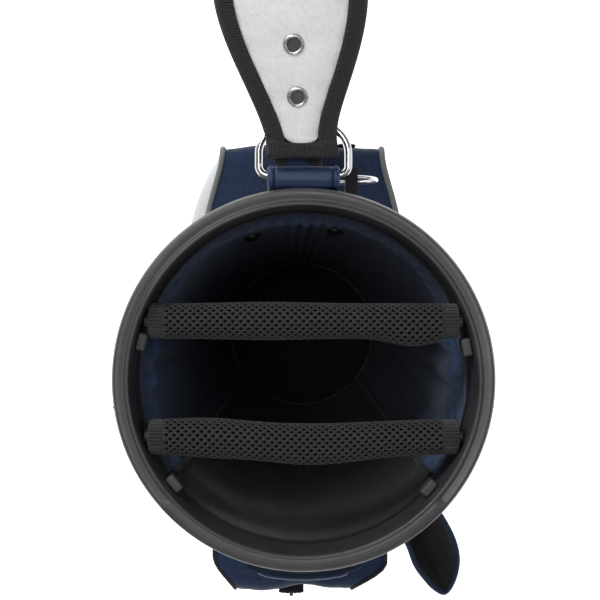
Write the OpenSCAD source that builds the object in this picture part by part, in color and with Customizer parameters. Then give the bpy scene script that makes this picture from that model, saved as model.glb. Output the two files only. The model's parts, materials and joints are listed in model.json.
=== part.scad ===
// Golf stand bag, standing upright on its base.
// Origin on the floor at the bag's axis; +Z up the bag, +Y towards the carrying strap.

/* [Body] */
// Height of the mouth ring above the floor
bag_h = 880; // [840:5:920]
// Outer radius of the mouth ring
cuff_r = 105; // [104.5:0.5:108]
// Radius of the club opening inside the ring
mouth_r = 95; // [94.5:0.25:95.5]
// Thickness of the fabric outer shell
shell_t = 1.2; // [0.8:0.2:1.4]
// Distance of each divider bar from the axis
bar_offset = 32; // [28:1:36]

/* [Pockets] */
// Height of the top of the large pocket
front_top = 480; // [440:5:485]
// Height of the bottom of the large pocket
front_bottom = 110; // [90:5:200]
// Reach of the large pocket's face from the axis
front_reach = 183; // [165:1:190]
// Height of the top of the small pocket
rear_top = 730; // [690:5:745]
// Height of the bottom of the small pocket
rear_bottom = 500; // [420:5:560]
// Height of the umbrella sleeve's mouth
sleeve_top = 800; // [760:5:810]

/* [Stand] */
// Height of the leg pivots
pivot_z = 800; // [790:1:805]
// Outer diameter of a leg tube
leg_d = 12; // [10:0.5:12]
// Height of the leg tips with the legs folded
tip_z = 76; // [74:1:120]

/* [Strap] */
// Width of the shoulder pad
pad_w = 82; // [65:1:84]
// Width of the strap at its two ends
strap_end_w = 39; // [37:1:42]
// Height of the upper strap ring
ring_z = 864; // [862:1:866]
// Height of the lower strap ring
low_ring_z = 510; // [500:1:520]

/* [Hidden] */
$fn = 96;

// Shell and cuff
shell_r = 97;
shell_in = shell_r - shell_t;
clear = 0.05;
gap = 0.4;
cuff_h = 42;
skirt_drop = 58;
shell_top = bag_h - 34;
skirt_t = 2;
liner_r = 91.5;
liner_t = 0.8;
liner_split = -50;
screw_r = 1.7;
floor_z = 33;
cup_top = 70;
cup_r = 104.5;
bar_z = bag_h - 15;
bar_half = sqrt(mouth_r * mouth_r - bar_offset * bar_offset) - 1.2;
sleeve_r = 10;
band_len = 11;

// Leg swing: u is the way the foot moves, w is the hinge axis, for the right leg
leg_x = 104.8;
leg_y = -19;
u_angle = -60;
leg_r = leg_d / 2;
hub_r = 7;
hub_half = 4;
pin_r = 2.5;
cheek_in = 4.4;
cheek_out = 7.6;
arm_drop = 20;
arm_h = 6;

// Actuator rods
rod_x = 86.6;
rod_y = -50;
rod_r = 2;
rod_low = 5.9;
rod_high = pivot_z - arm_drop - 0.6;
spring_low = 112;
spring_high = 158;

// Foot plate hinge
hinge_z = 7;
plate_r = 103;
plate_top = 5.5;
tread_t = 1.5;
bevel = 10;

// Strap rings
wire_r = 2.15;
ring_w = 54;
ring_y = 113;
ring_reach = 143;
tab_w = 39;
tab_t = 5;

module ring_band(r_out, r_in, z0, z1) {
    translate([0, 0, z0])
        difference() {
            cylinder(r = r_out, h = z1 - z0);
            translate([0, 0, -1])
                cylinder(r = r_in, h = z1 - z0 + 2);
        }
}

module shell_space(r = shell_r + clear) {
    translate([0, 0, -10])
        cylinder(r = r, h = bag_h + 20);
}

module box(lo, hi) {
    translate(lo)
        cube(hi - lo);
}

// ---- Mouth ring and dividers ----

module top_cuff() {
    color([0.16, 0.16, 0.17])
        rotate_extrude()
            polygon([
                [mouth_r - 1.5, bag_h - skirt_drop],
                [mouth_r, bag_h - 7],
                [mouth_r, bag_h - 3],
                [mouth_r + 1.5, bag_h - 1],
                [mouth_r + 3.5, bag_h],
                [mouth_r + 5.5, bag_h],
                [cuff_r - 2, bag_h - 2],
                [cuff_r, bag_h - 6],
                [cuff_r, bag_h - cuff_h],
                [cuff_r - 2.5, bag_h - cuff_h],
                [cuff_r - 2.5, bag_h - 8],
                [mouth_r + skirt_t, bag_h - 6],
                [mouth_r + skirt_t, shell_top + 1],
                [shell_in - 0.1, shell_top + 1],
                [shell_in - 0.4, bag_h - skirt_drop]
            ]);
}

module cuff_lugs() {
    color([0.45, 0.46, 0.48])
        for (angle = [11, 167, 219, 319])
            rotate([0, 0, angle])
                box([mouth_r - 6, -5, bag_h - 20], [mouth_r - 0.7, 5, bag_h - 10]);
}

module on_bars() {
    for (side = [-1, 1])
        translate([0, side * bar_offset, bar_z])
            rotate([0, 90, 0])
                children();
}

module divider_bars() {
    color("gray")
        on_bars()
            translate([0, 0, -bar_half])
                cylinder(r = 4, h = 2 * bar_half);
}

module divider_sleeves() {
    color([0.08, 0.08, 0.09])
        on_bars()
            ring_band(sleeve_r, 4 + clear, -bar_half + band_len + gap, bar_half - band_len - gap);
}

module divider_end_bands() {
    color([0.13, 0.13, 0.14])
        on_bars()
            for (z0 = [-bar_half + 3, bar_half - band_len])
                ring_band(sleeve_r - 0.5, 4 + clear, z0, z0 + band_len - 3);
}

// ---- Body tube ----

module shell() {
    color([0.1, 0.15, 0.24])
        ring_band(shell_r, shell_in, floor_z + gap, shell_top);
}

module liner() {
    color([0.1, 0.16, 0.28])
        difference() {
            intersection() {
                ring_band(liner_r, liner_r - liner_t, floor_z + 12, bag_h - skirt_drop - 1);
                box([-100, liner_split, 0], [100, 100, bag_h]);
            }
            at_tab_screws()
                cylinder(r = screw_r + gap, h = 20);
        }
}

module liner_back_panel() {
    color([0.06, 0.06, 0.07])
        intersection() {
            ring_band(liner_r, liner_r - liner_t, floor_z + 12, bag_h - skirt_drop - 1);
            box([-100, -100, 0], [100, liner_split - gap, bag_h]);
        }
}

module stays() {
    color([0.75, 0.75, 0.7])
        for (angle = [52, 128, 236, 304])
            rotate([0, 0, angle])
                translate([(liner_r + shell_in) / 2, 0, floor_z + gap])
                    cylinder(r = 1.8, h = bag_h - skirt_drop - floor_z - 2);
}

// Bevelled underside: a wedge that leaves room for the hinged foot plate
module bevel_wedge() {
    translate([-cup_r - 5, -8, plate_top + 0.8])
        rotate([-bevel, 0, 0])
            translate([0, -cup_r - 40, -80])
                cube([2 * cup_r + 10, cup_r + 40, 80]);
}

module base_cup() {
    color([0.12, 0.12, 0.13])
        difference() {
            union() {
                ring_band(cup_r, shell_r + clear, tread_t, cup_top);
                translate([0, 0, floor_z - 4])
                    cylinder(r = shell_r + 1, h = 4);
                for (x = [-72, -24, 24, 72])
                    box([x - 2, 14, tread_t], [x + 2, sqrt(shell_r * shell_r - x * x), floor_z - 3]);
                box([-96, 12, tread_t], [96, 16, floor_z - 3]);
                difference() {
                    for (span = [[-92, -60], [-19, 19], [60, 92]])
                        box([span[0], -6, hinge_z], [span[1], 6, floor_z - 3]);
                    box([-95, -7, hinge_z - 1], [95, 7, hinge_z + 1]);
                }
                for (span = [[-92, -60], [-19, 19], [60, 92]])
                    translate([span[0], 0, hinge_z])
                        rotate([0, 90, 0])
                            cylinder(r = 5.4, h = span[1] - span[0]);
            }
            bevel_wedge();
            translate([-100, 0, hinge_z])
                rotate([0, 90, 0])
                    cylinder(r = pin_r + 0.01, h = 200);
            for (side = [-1, 1])
                translate([side * rod_x, rod_y, -1])
                    cylinder(r = rod_r + clear, h = cup_top + 2);
            box([-110, -14, -1], [-92.5, 12, 15]);
            box([92.5, -14, -1], [110, 12, 15]);
            rivet_heads(clear);
        }
}

module base_tread() {
    color([0.05, 0.05, 0.05])
        union() {
            intersection() {
                cylinder(r = cup_r - 1, h = tread_t);
                box([-110, 12, 0], [110, 110, tread_t]);
            }
            box([-18, -6, 0], [18, 13, tread_t]);
        }
}

module base_pad() {
    color([0.1, 0.1, 0.1])
        translate([0, 0, floor_z])
            cylinder(r = liner_r - 2, h = 8);
}

module rivet_heads(grow) {
    for (angle = [20, 62, 118, 160, 250, 290])
        rotate([0, 0, angle])
            translate([cup_r - 1 - grow, 0, 58])
                rotate([0, 90, 0])
                    cylinder(r = 4 + grow, h = 2.2 + grow);
}

module base_rivets() {
    color("silver")
        rivet_heads(0);
}

// ---- Tabs, keeper and handle ----

// Leather folded round the straight bar of a ring, with its tails on the body
module tab_fold(z, y_back) {
    difference() {
        union() {
            box([-tab_w / 2, y_back, z - tab_t], [tab_w / 2, ring_y - 0.4, z + tab_t]);
            translate([-tab_w / 2, ring_y - 0.4, z])
                rotate([0, 90, 0])
                    cylinder(r = tab_t, h = tab_w);
            children();
        }
        translate([-40, ring_y, z])
            rotate([0, 90, 0])
                cylinder(r = wire_r + clear, h = 80);
    }
}

cuff_bottom = bag_h - cuff_h;
patch_half = 42;

module upper_tab() {
    color([0.17, 0.24, 0.36])
        difference() {
            tab_fold(ring_z, 100) {
                box([-tab_w / 2, 100, cuff_bottom - 12], [tab_w / 2, cuff_r + 2.5, ring_z]);
                box([-tab_w / 2, 90, cuff_bottom - 12], [tab_w / 2, cuff_r + 2.5, cuff_bottom - 1]);
                intersection() {
                    ring_band(shell_r + 2, shell_r, 772, cuff_bottom - 3);
                    box([-patch_half, 60, 0], [patch_half, 110, bag_h]);
                }
            }
            shell_space();
            translate([0, 0, cuff_bottom - 0.3])
                cylinder(r = cuff_r + clear, h = cuff_h + 1);
        }
}

module lower_tab() {
    color([0.17, 0.24, 0.36])
        difference() {
            tab_fold(low_ring_z, 90)
                box([-tab_w / 2, 90, front_top + 1], [tab_w / 2, shell_r + 2.2, low_ring_z + 22]);
            shell_space();
        }
}

module at_tab_screws() {
    for (x = [-32.6, 19.9])
        rotate([0, 0, -asin(x / liner_r)])
            translate([0, liner_r - liner_t - 2.2, 785])
                rotate([-90, 0, 0])
                    children();
}

module tab_screws() {
    color([0.05, 0.05, 0.05])
        at_tab_screws()
            union() {
                cylinder(r = 5.5, h = 1.9);
                translate([0, 0, 1.8])
                    cylinder(r = screw_r, h = shell_in - liner_r + liner_t + 0.3);
            }
}

keeper_x = 27;
towel_z = 852;

module towel_keeper() {
    color([0.08, 0.08, 0.08])
        difference() {
            translate([keeper_x - 3.5, 0, 0])
                union() {
                    box([0, 96, cuff_bottom - 12], [7, cuff_r + 1.8, cuff_bottom - 4]);
                    box([0, 98, cuff_bottom - 12], [7, cuff_r + 1.8, towel_z + 4]);
                    box([0, 98, towel_z - 4], [7, 118, towel_z + 4]);
                }
            shell_space(shell_r + 2 + clear);
            translate([0, 0, cuff_bottom - 0.3])
                cylinder(r = cuff_r + clear, h = cuff_h + 1);
            translate([keeper_x - 5, 113, towel_z])
                rotate([0, 90, 0])
                    cylinder(r = 2, h = 10);
        }
}

module towel_ring() {
    color("silver")
        translate([keeper_x, 113, towel_z - 15])
            rotate([90, 0, 0])
                rotate_extrude($fn = 64)
                    translate([15, 0])
                        circle(r = 1.3, $fn = 24);
}

handle_z = 790;
handle_r = 128;

module handle_arc(r_out, r_in, half_angle, z0, z1) {
    intersection() {
        ring_band(r_out, r_in, z0, z1);
        translate([0, 0, z0 - 1])
            linear_extrude(z1 - z0 + 2)
                polygon([
                    [0, 0],
                    [-200 * sin(half_angle), -200 * cos(half_angle)],
                    [200 * sin(half_angle), -200 * cos(half_angle)]
                ]);
    }
}

module grab_handle() {
    color([0.08, 0.08, 0.08])
        difference() {
            union() {
                translate([0, -30, 0])
                    handle_arc(handle_r - 30, handle_r - 32.5, 26, handle_z - 11, handle_z + 11);
                for (side = [-1, 1]) {
                    box([side * 42 - 2, -119.5, handle_z - 11], [side * 42 + 2, -86, handle_z + 11]);
                }
            }
            shell_space();
        }
}

module handle_grip() {
    color([0.12, 0.12, 0.12])
        translate([0, -30, 0])
            difference() {
                handle_arc(handle_r - 28, handle_r - 34.5, 18, handle_z - 15, handle_z + 15);
                handle_arc(handle_r - 30 + clear, handle_r - 32.5 - clear, 22, handle_z - 11 - clear,
                    handle_z + 11 + clear);
            }
}

// ---- Pockets ----

module front_outline(inset) {
    polygon([
        [-88 + inset, 40],
        [-88 + inset, 123],
        [-73 + inset, front_reach - 10],
        [-64 + inset, front_reach - inset],
        [64 - inset, front_reach - inset],
        [73 - inset, front_reach - 10],
        [88 - inset, 123],
        [88 - inset, 40]
    ]);
}

pocket_t = 2;
front_split = front_reach - 12;

module front_body() {
    difference() {
        translate([0, 0, front_bottom])
            linear_extrude(front_top - front_bottom)
                front_outline(0);
        translate([0, 0, front_bottom + pocket_t])
            linear_extrude(front_top - front_bottom - 2 * pocket_t)
                front_outline(pocket_t);
        shell_space();
        piping_cords(clear);
    }
}

module gusset_zone() {
    for (side = [-1, 1])
        translate([0, 0, front_bottom + 8])
            linear_extrude(front_top - front_bottom - 16)
                polygon([
                    [side * 62, 30],
                    [side * 62, front_split],
                    [side * 120, front_split],
                    [side * 120, 30]
                ]);
}

module front_pocket() {
    color([0.11, 0.17, 0.26])
        difference() {
            front_body();
            gusset_zone();
        }
}

module front_gussets() {
    color([0.86, 0.86, 0.85])
        intersection() {
            front_body();
            gusset_zone();
        }
}

module piping_cords(grow) {
    for (side = [-1, 1])
        translate([side * (73.4 + 1.1), front_split, front_bottom + 8 - grow])
            cylinder(r = 1.8 + grow, h = front_top - front_bottom - 16 + 2 * grow, $fn = 24);
}

module front_piping() {
    color([0.45, 0.46, 0.48])
        piping_cords(0);
}

module zip_tape(x, y, z0, z1) {
    box([x - 6, y, z0], [x + 6, y + 1.2, z1]);
}

module zip_slider(x, y, z) {
    difference() {
        union() {
            box([x - 4.5, y, z - 6], [x + 4.5, y + 2.2, z + 6]);
            box([x - 1.2, y + 2, z - 4], [x + 1.2, y + 5, z + 4]);
        }
        translate([x - 2, y + 3.4, z])
            rotate([0, 90, 0])
                cylinder(r = 0.9, h = 4);
    }
}

module zip_pull(x, y, z) {
    difference() {
        union() {
            box([x - 3.5, y + 2.6, z - 26], [x + 3.5, y + 4.2, z - 5]);
            box([x - 3.5, y + 2.6, z - 6], [x - 1.8, y + 4.2, z + 0.8]);
            box([x + 1.8, y + 2.6, z - 6], [x + 3.5, y + 4.2, z + 0.8]);
        }
        translate([x, y, z - 21])
            rotate([-90, 0, 0])
                cylinder(r = 2, h = 8, $fn = 32);
    }
    translate([x - 3.4, y + 3.4, z])
        rotate([0, 90, 0])
            cylinder(r = 0.75, h = 6.8, $fn = 24);
}

front_zip_x = 40;
front_zip_z = front_top - 30;
rear_zip_x = -8;
rear_zip_z = rear_top - 26;
rear_reach = 155;

module front_zip() {
    color([0.1, 0.1, 0.1])
        zip_tape(front_zip_x, front_reach, front_bottom + 30, front_top - 14);
}

module front_zip_slider() {
    color("silver")
        zip_slider(front_zip_x, front_reach + 1.6, front_zip_z);
}

module front_zip_pull() {
    color("silver")
        zip_pull(front_zip_x, front_reach + 1.6, front_zip_z);
}

module rear_outline(inset) {
    polygon([
        [-60 + inset, -60],
        [-60 + inset, -130],
        [-46 + inset, -rear_reach + inset],
        [33 - inset, -rear_reach + inset],
        [56 - inset, -130],
        [40 - inset, -60]
    ]);
}

module rear_pocket() {
    color([0.11, 0.17, 0.26])
        difference() {
            translate([0, 0, rear_bottom])
                linear_extrude(rear_top - rear_bottom)
                    rear_outline(0);
            translate([0, 0, rear_bottom + pocket_t])
                linear_extrude(rear_top - rear_bottom - 2 * pocket_t)
                    rear_outline(pocket_t);
            shell_space();
        }
}

module rear_zip() {
    color([0.1, 0.1, 0.1])
        rotate([0, 0, 180])
            zip_tape(-rear_zip_x, rear_reach, rear_bottom + 16, rear_top - 12);
}

module rear_zip_slider() {
    color("silver")
        rotate([0, 0, 180])
            zip_slider(-rear_zip_x, rear_reach + 1.6, rear_zip_z);
}

module rear_zip_pull() {
    color("silver")
        rotate([0, 0, 180])
            zip_pull(-rear_zip_x, rear_reach + 1.6, rear_zip_z);
}

// Umbrella sleeve: a flat tapered pouch whose mouth gapes away from the body
sleeve_angle = -55;
sleeve_half = 14.5;
sleeve_side = 4;
sleeve_tip = 162;
sleeve_bottom = 330;

module sleeve_profile(inset, top) {
    polygon([
        [80, sleeve_bottom + inset],
        [118 - inset, sleeve_bottom + inset],
        [143 - inset, sleeve_top - 190],
        [sleeve_tip - inset, sleeve_top - 40],
        [sleeve_tip - inset, top],
        [80, top]
    ]);
}

module sleeve_slab(half, inset, top) {
    rotate([0, 0, sleeve_angle])
        translate([0, sleeve_side + half, 0])
            rotate([90, 0, 0])
                linear_extrude(2 * half)
                    sleeve_profile(inset, top);
}

module umbrella_sleeve() {
    color([0.11, 0.17, 0.26])
        difference() {
            sleeve_slab(sleeve_half, 0, sleeve_top - 5);
            sleeve_slab(sleeve_half - pocket_t, pocket_t, sleeve_top + 5);
            shell_space();
        }
}

module sleeve_rim() {
    color([0.14, 0.2, 0.3])
        difference() {
            intersection() {
                sleeve_slab(sleeve_half + 0.6, -0.6, sleeve_top);
                box([0, -250, sleeve_top - 5], [250, 0, sleeve_top]);
            }
            sleeve_slab(sleeve_half - pocket_t, pocket_t, sleeve_top + 5);
            shell_space();
        }
}

// ---- Stand ----

// Leg frame: local X is the hinge axis w, local Y is the swing direction u
module leg_frame() {
    translate([leg_x, leg_y, pivot_z])
        rotate([0, 0, u_angle - 90])
            children();
}

module leg_bracket() {
    difference() {
        union() {
            leg_frame()
                difference() {
                    box([-cheek_out, -12, -9], [cheek_out, 7, 12]);
                    box([-cheek_in, -8.4, -20], [cheek_in, 20, 8]);
                }
            intersection() {
                ring_band(shell_r + 1.6, shell_r - 2, pivot_z - 10.5, pivot_z + 24);
                rotate([0, 0, -10])
                    box([80, -24, 0], [120, 24, bag_h]);
            }
        }
        shell_space();
        leg_frame()
            translate([-20, 0, 0])
                rotate([0, 90, 0])
                    cylinder(r = pin_r + 0.01, h = 40, $fn = 48);
    }
}

module leg_pin() {
    leg_frame()
        translate([-cheek_out - 0.6, 0, 0])
            rotate([0, 90, 0])
                cylinder(r = pin_r, h = cheek_out + cheek_in + 1.4, $fn = 48);
}

module leg_socket() {
    arm_len = sqrt(pow(rod_x - leg_x, 2) + pow(rod_y - leg_y, 2));
    difference() {
        union() {
            leg_frame()
                translate([-hub_half, 0, 0])
                    rotate([0, 90, 0])
                        cylinder(r = hub_r, h = 2 * hub_half, $fn = 48);
            leg_frame()
                box([-hub_half, -5, -17], [hub_half, 5, 0]);
            translate([leg_x, leg_y, pivot_z - 52])
                cylinder(r = leg_r + 1.9, h = 37, $fn = 48);
            translate([leg_x, leg_y, pivot_z - arm_drop])
                rotate([0, 0, atan2(rod_y - leg_y, rod_x - leg_x)])
                    box([0, -2.5, 0], [arm_len + 3.5, 2.5, arm_h]);
        }
        leg_frame()
            translate([-20, 0, 0])
                rotate([0, 90, 0])
                    cylinder(r = pin_r + clear, h = 40, $fn = 48);
        translate([leg_x, leg_y, pivot_z - 53])
            cylinder(r = leg_r + 0.01, h = 31, $fn = 48);
    }
}

module leg_tube() {
    translate([leg_x, leg_y, 0])
        ring_band(leg_r, leg_r - 1, tip_z + 8, pivot_z - 23);
}

module leg_foot() {
    translate([leg_x, leg_y, 0])
        difference() {
            union() {
                translate([0.5, 0, tip_z])
                    cylinder(r1 = 6, r2 = 7.6, h = 12, $fn = 48);
                translate([0.5, 0, tip_z + 12])
                    cylinder(r = 7.6, h = 18, $fn = 48);
            }
            translate([0, 0, tip_z + 8 - 0.05])
                cylinder(r = leg_r + 0.01, h = 40, $fn = 48);
        }
}

module leg_bracket_right() {
    color([0.1, 0.1, 0.1])
        leg_bracket();
}

module leg_bracket_left() {
    color([0.1, 0.1, 0.1])
        mirror([1, 0, 0])
            leg_bracket();
}

module bracket_screws() {
    color("silver")
        for (angle = [-17, -5, 185, 197])
            rotate([0, 0, angle])
                translate([shell_r + 1.6, 0, pivot_z + 18])
                    rotate([0, 90, 0])
                        cylinder(r = 3, h = 1.8);
}

module leg_pins() {
    color("silver") {
        leg_pin();
        mirror([1, 0, 0])
            leg_pin();
    }
}

module leg_socket_right() {
    color([0.1, 0.1, 0.1])
        leg_socket();
}

module leg_socket_left() {
    color([0.1, 0.1, 0.1])
        mirror([1, 0, 0])
            leg_socket();
}

module leg_tube_right() {
    color([0.2, 0.2, 0.22])
        leg_tube();
}

module leg_tube_left() {
    color([0.2, 0.2, 0.22])
        mirror([1, 0, 0])
            leg_tube();
}

module leg_foot_right() {
    color([0.05, 0.05, 0.05])
        leg_foot();
}

module leg_foot_left() {
    color([0.05, 0.05, 0.05])
        mirror([1, 0, 0])
            leg_foot();
}

module at_rods() {
    for (side = [-1, 1])
        translate([side * rod_x, rod_y, 0])
            children();
}

module actuator_rods() {
    color("silver")
        at_rods() {
            translate([0, 0, rod_low + rod_r])
                cylinder(r = rod_r, h = rod_high - rod_low - 2 * rod_r, $fn = 48);
            translate([0, 0, rod_low + rod_r])
                sphere(r = rod_r, $fn = 48);
            translate([0, 0, rod_high - rod_r])
                sphere(r = rod_r, $fn = 48);
            translate([0, 0, spring_low - 4])
                cylinder(r = 2.8, h = 4, $fn = 48);
        }
}

module return_springs() {
    color([0.7, 0.7, 0.7])
        at_rods()
            for (step = [0:8])
                translate([0, 0, spring_low + 0.5 + step * (spring_high - spring_low - 1) / 8])
                    rotate_extrude($fn = 32)
                        translate([2.55, 0])
                            circle(r = 0.35, $fn = 16);
}

module rod_guides() {
    color([0.1, 0.1, 0.1])
        difference() {
            for (z = [spring_high, 420, 640])
                at_rods()
                    translate([0, 0, z])
                        cylinder(r = 5, h = 12, $fn = 48);
            shell_space();
            at_rods()
                cylinder(r = rod_r + clear, h = bag_h, $fn = 48);
        }
}

module half_disc(r, y_max, z0, z1) {
    intersection() {
        translate([0, 0, z0])
            cylinder(r = r, h = z1 - z0);
        box([-110, -110, z0 - 1], [110, y_max, z1 + 1]);
    }
}

module foot_plate() {
    color([0.12, 0.12, 0.13])
        difference() {
            union() {
                half_disc(plate_r, -9, tread_t, plate_top);
                for (span = [[-58, -20], [20, 58]]) {
                    translate([span[0], 0, hinge_z])
                        rotate([0, 90, 0])
                            cylinder(r = 5.4, h = span[1] - span[0], $fn = 48);
                    box([span[0], -12, tread_t + 0.2], [span[1], 0, plate_top]);
                }
            }
            translate([-100, 0, hinge_z])
                rotate([0, 90, 0])
                    cylinder(r = pin_r + clear, h = 200, $fn = 48);
        }
}

module plate_tread() {
    color([0.05, 0.05, 0.05])
        half_disc(plate_r - 1, -12, 0, tread_t);
}

module plate_pin() {
    color("silver")
        translate([-91, 0, hinge_z])
            rotate([0, 90, 0])
                cylinder(r = pin_r, h = 182, $fn = 48);
}

// ---- Strap ----

// Flat ring: small corners at the bar inside the tab, wide corners at the outer bar
module ring_corner(x, y, r, turn) {
    translate([x, y, 0])
        rotate([0, 0, turn])
            rotate_extrude(angle = 90, $fn = 64)
                translate([r, 0])
                    circle(r = wire_r, $fn = 32);
}

module d_ring(z) {
    side_x = ring_w / 2 - wire_r;
    inner_r = 5;
    outer_r = 16;
    outer_y = ring_reach - wire_r;
    translate([0, 0, z]) {
        translate([inner_r - side_x, ring_y, 0])
            rotate([0, 90, 0])
                cylinder(r = wire_r, h = 2 * (side_x - inner_r), $fn = 32);
        translate([outer_r - side_x, outer_y, 0])
            rotate([0, 90, 0])
                cylinder(r = wire_r, h = 2 * (side_x - outer_r), $fn = 32);
        for (side = [-1, 1])
            translate([side * side_x, ring_y + inner_r, 0])
                rotate([-90, 0, 0])
                    cylinder(r = wire_r, h = outer_y - ring_y - inner_r - outer_r, $fn = 32);
        ring_corner(side_x - inner_r, ring_y + inner_r, inner_r, -90);
        ring_corner(inner_r - side_x, ring_y + inner_r, inner_r, 180);
        ring_corner(side_x - outer_r, outer_y - outer_r, outer_r, 0);
        ring_corner(outer_r - side_x, outer_y - outer_r, outer_r, 90);
    }
}

module upper_ring() {
    color("silver")
        d_ring(ring_z);
}

module lower_ring() {
    color("silver")
        d_ring(low_ring_z);
}

// Centre line of the strap in the YZ plane: three Bezier stretches
strap_path = [
    [[122, ring_z + 9.2], [160, ring_z + 18], [262, 938], [312, 860]],
    [[312, 860], [345, 808], [348, 640], [285, 572]],
    [[285, 572], [250, 534], [190, low_ring_z - 20], [122, low_ring_z - 9.8]]
];
strap_steps = 14;

function bezier(p, t) =
    pow(1 - t, 3) * p[0] + 3 * t * pow(1 - t, 2) * p[1]
    + 3 * t * t * (1 - t) * p[2] + pow(t, 3) * p[3];
function slope(p, t) =
    3 * pow(1 - t, 2) * (p[1] - p[0]) + 6 * t * (1 - t) * (p[2] - p[1])
    + 3 * t * t * (p[3] - p[2]);
function strap_point(s) = bezier(strap_path[min(2, floor(s))], s - min(2, floor(s)));
function strap_slope(s) = slope(strap_path[min(2, floor(s))], s - min(2, floor(s)));
function strap_normal(s) =
    let (d = strap_slope(s))
    [-d[1], d[0]] / norm(d);
function ease(x) = let (c = max(0, min(1, x))) c * c * (3 - 2 * c);
function pad_width(s) =
    strap_end_w + (pad_w - strap_end_w) * ease((s - 0.06) / 0.42) * ease((2.94 - s) / 0.9);
function strap_lean(s) = -15 * sin(60 * s);

// One corner of the strap's section: side across it, lift off the centre line
function strap_corner(s, x, lift) =
    let (p = strap_point(s), n = strap_normal(s))
    [x + strap_lean(s), p[0] + lift * n[0], p[1] + lift * n[1]];

module strap_layer(s0, s1, edge_in, edge_out, low, high) {
    steps = round((s1 - s0) * strap_steps);
    rings = [
        for (i = [0:steps])
            let (s = s0 + (s1 - s0) * i / steps, w = pad_width(s) / 2)
            [
                strap_corner(s, edge_in(w), low),
                strap_corner(s, edge_out(w), low),
                strap_corner(s, edge_out(w), high),
                strap_corner(s, edge_in(w), high)
            ]
    ];
    points = [for (ring = rings) for (p = ring) p];
    faces = concat(
        [[3, 2, 1, 0]],
        [
            for (i = [0:steps - 1])
                for (k = [0:3])
                    [4 * i + k, 4 * i + (k + 1) % 4, 4 * i + 4 + (k + 1) % 4, 4 * i + 4 + k]
        ],
        [[4 * steps, 4 * steps + 1, 4 * steps + 2, 4 * steps + 3]]
    );
    polyhedron(points = points, faces = faces, convexity = 6);
}

bind_w = 10;
bind_gap = 0.2;
buckle_s = 2.7;

module strap_shell() {
    color([0.11, 0.17, 0.26])
        strap_layer(0.06, 2.94, function(w) -w + bind_w, function(w) w - bind_w, -4.5, 0);
}

module strap_felt() {
    color([0.9, 0.9, 0.9])
        strap_layer(0.06, 2.94, function(w) -w + bind_w, function(w) w - bind_w, 0.02, 3.5);
}

module strap_binding() {
    color([0.06, 0.06, 0.06]) {
        strap_layer(0, 3, function(w) -w, function(w) -w + bind_w - bind_gap, -4.5, 4);
        strap_layer(0, 3, function(w) w - bind_w + bind_gap, function(w) w, -4.5, 4);
    }
}

module strap_eyelets() {
    color("silver")
        for (s = [0.21, 0.345]) {
            p = strap_point(s);
            n = strap_normal(s);
            translate([strap_lean(s), p[0] + 3.55 * n[0], p[1] + 3.55 * n[1]])
                rotate([atan2(n[1], n[0]) - 90, 0, 0])
                    ring_band(5.5, 3.7, 0, 0.9);
        }
}

// Flat loop of webbing through a ring, sewn to the strap's end on its far side
module strap_loop(z) {
    difference() {
        box([-loop_w / 2, loop_start, z - 4.3], [loop_w / 2, loop_end, z + 4.3]);
        box([-loop_w, loop_start + 2, z - 2.5], [loop_w, loop_end - 8, z + 2.5]);
    }
}

loop_w = 34;
loop_start = 118.4;
loop_end = 160;

module strap_loops() {
    color([0.06, 0.06, 0.06]) {
        strap_loop(ring_z);
        strap_loop(low_ring_z);
    }
}

module strap_buckle() {
    color([0.1, 0.1, 0.1])
        translate([strap_lean(buckle_s), strap_point(buckle_s)[0], strap_point(buckle_s)[1]])
            rotate([atan2(strap_normal(buckle_s)[1], strap_normal(buckle_s)[0]) + 90, 0, 0])
                difference() {
                    box([-27, -12, 5.6], [27, 12, 8.6]);
                    box([-20, -8, 4], [20, -2, 9]);
                    box([-20, 2, 4], [20, 8, 9]);
                }
}

top_cuff();
cuff_lugs();
divider_bars();
divider_sleeves();
divider_end_bands();
shell();
liner();
liner_back_panel();
stays();
base_cup();
base_pad();
base_tread();
base_rivets();
tab_screws();
upper_tab();
lower_tab();
towel_keeper();
grab_handle();
handle_grip();
front_pocket();
front_gussets();
front_piping();
front_zip();
front_zip_slider();
front_zip_pull();
rear_pocket();
rear_zip();
rear_zip_slider();
rear_zip_pull();
umbrella_sleeve();
sleeve_rim();
leg_bracket_right();
leg_bracket_left();
bracket_screws();
leg_pins();
rod_guides();
leg_socket_right();
leg_tube_right();
leg_foot_right();
leg_socket_left();
leg_tube_left();
leg_foot_left();
actuator_rods();
return_springs();
foot_plate();
plate_tread();
plate_pin();
upper_ring();
lower_ring();
strap_shell();
strap_felt();
strap_binding();
strap_eyelets();
strap_loops();
strap_buckle();
towel_ring();
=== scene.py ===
import json
import math

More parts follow.
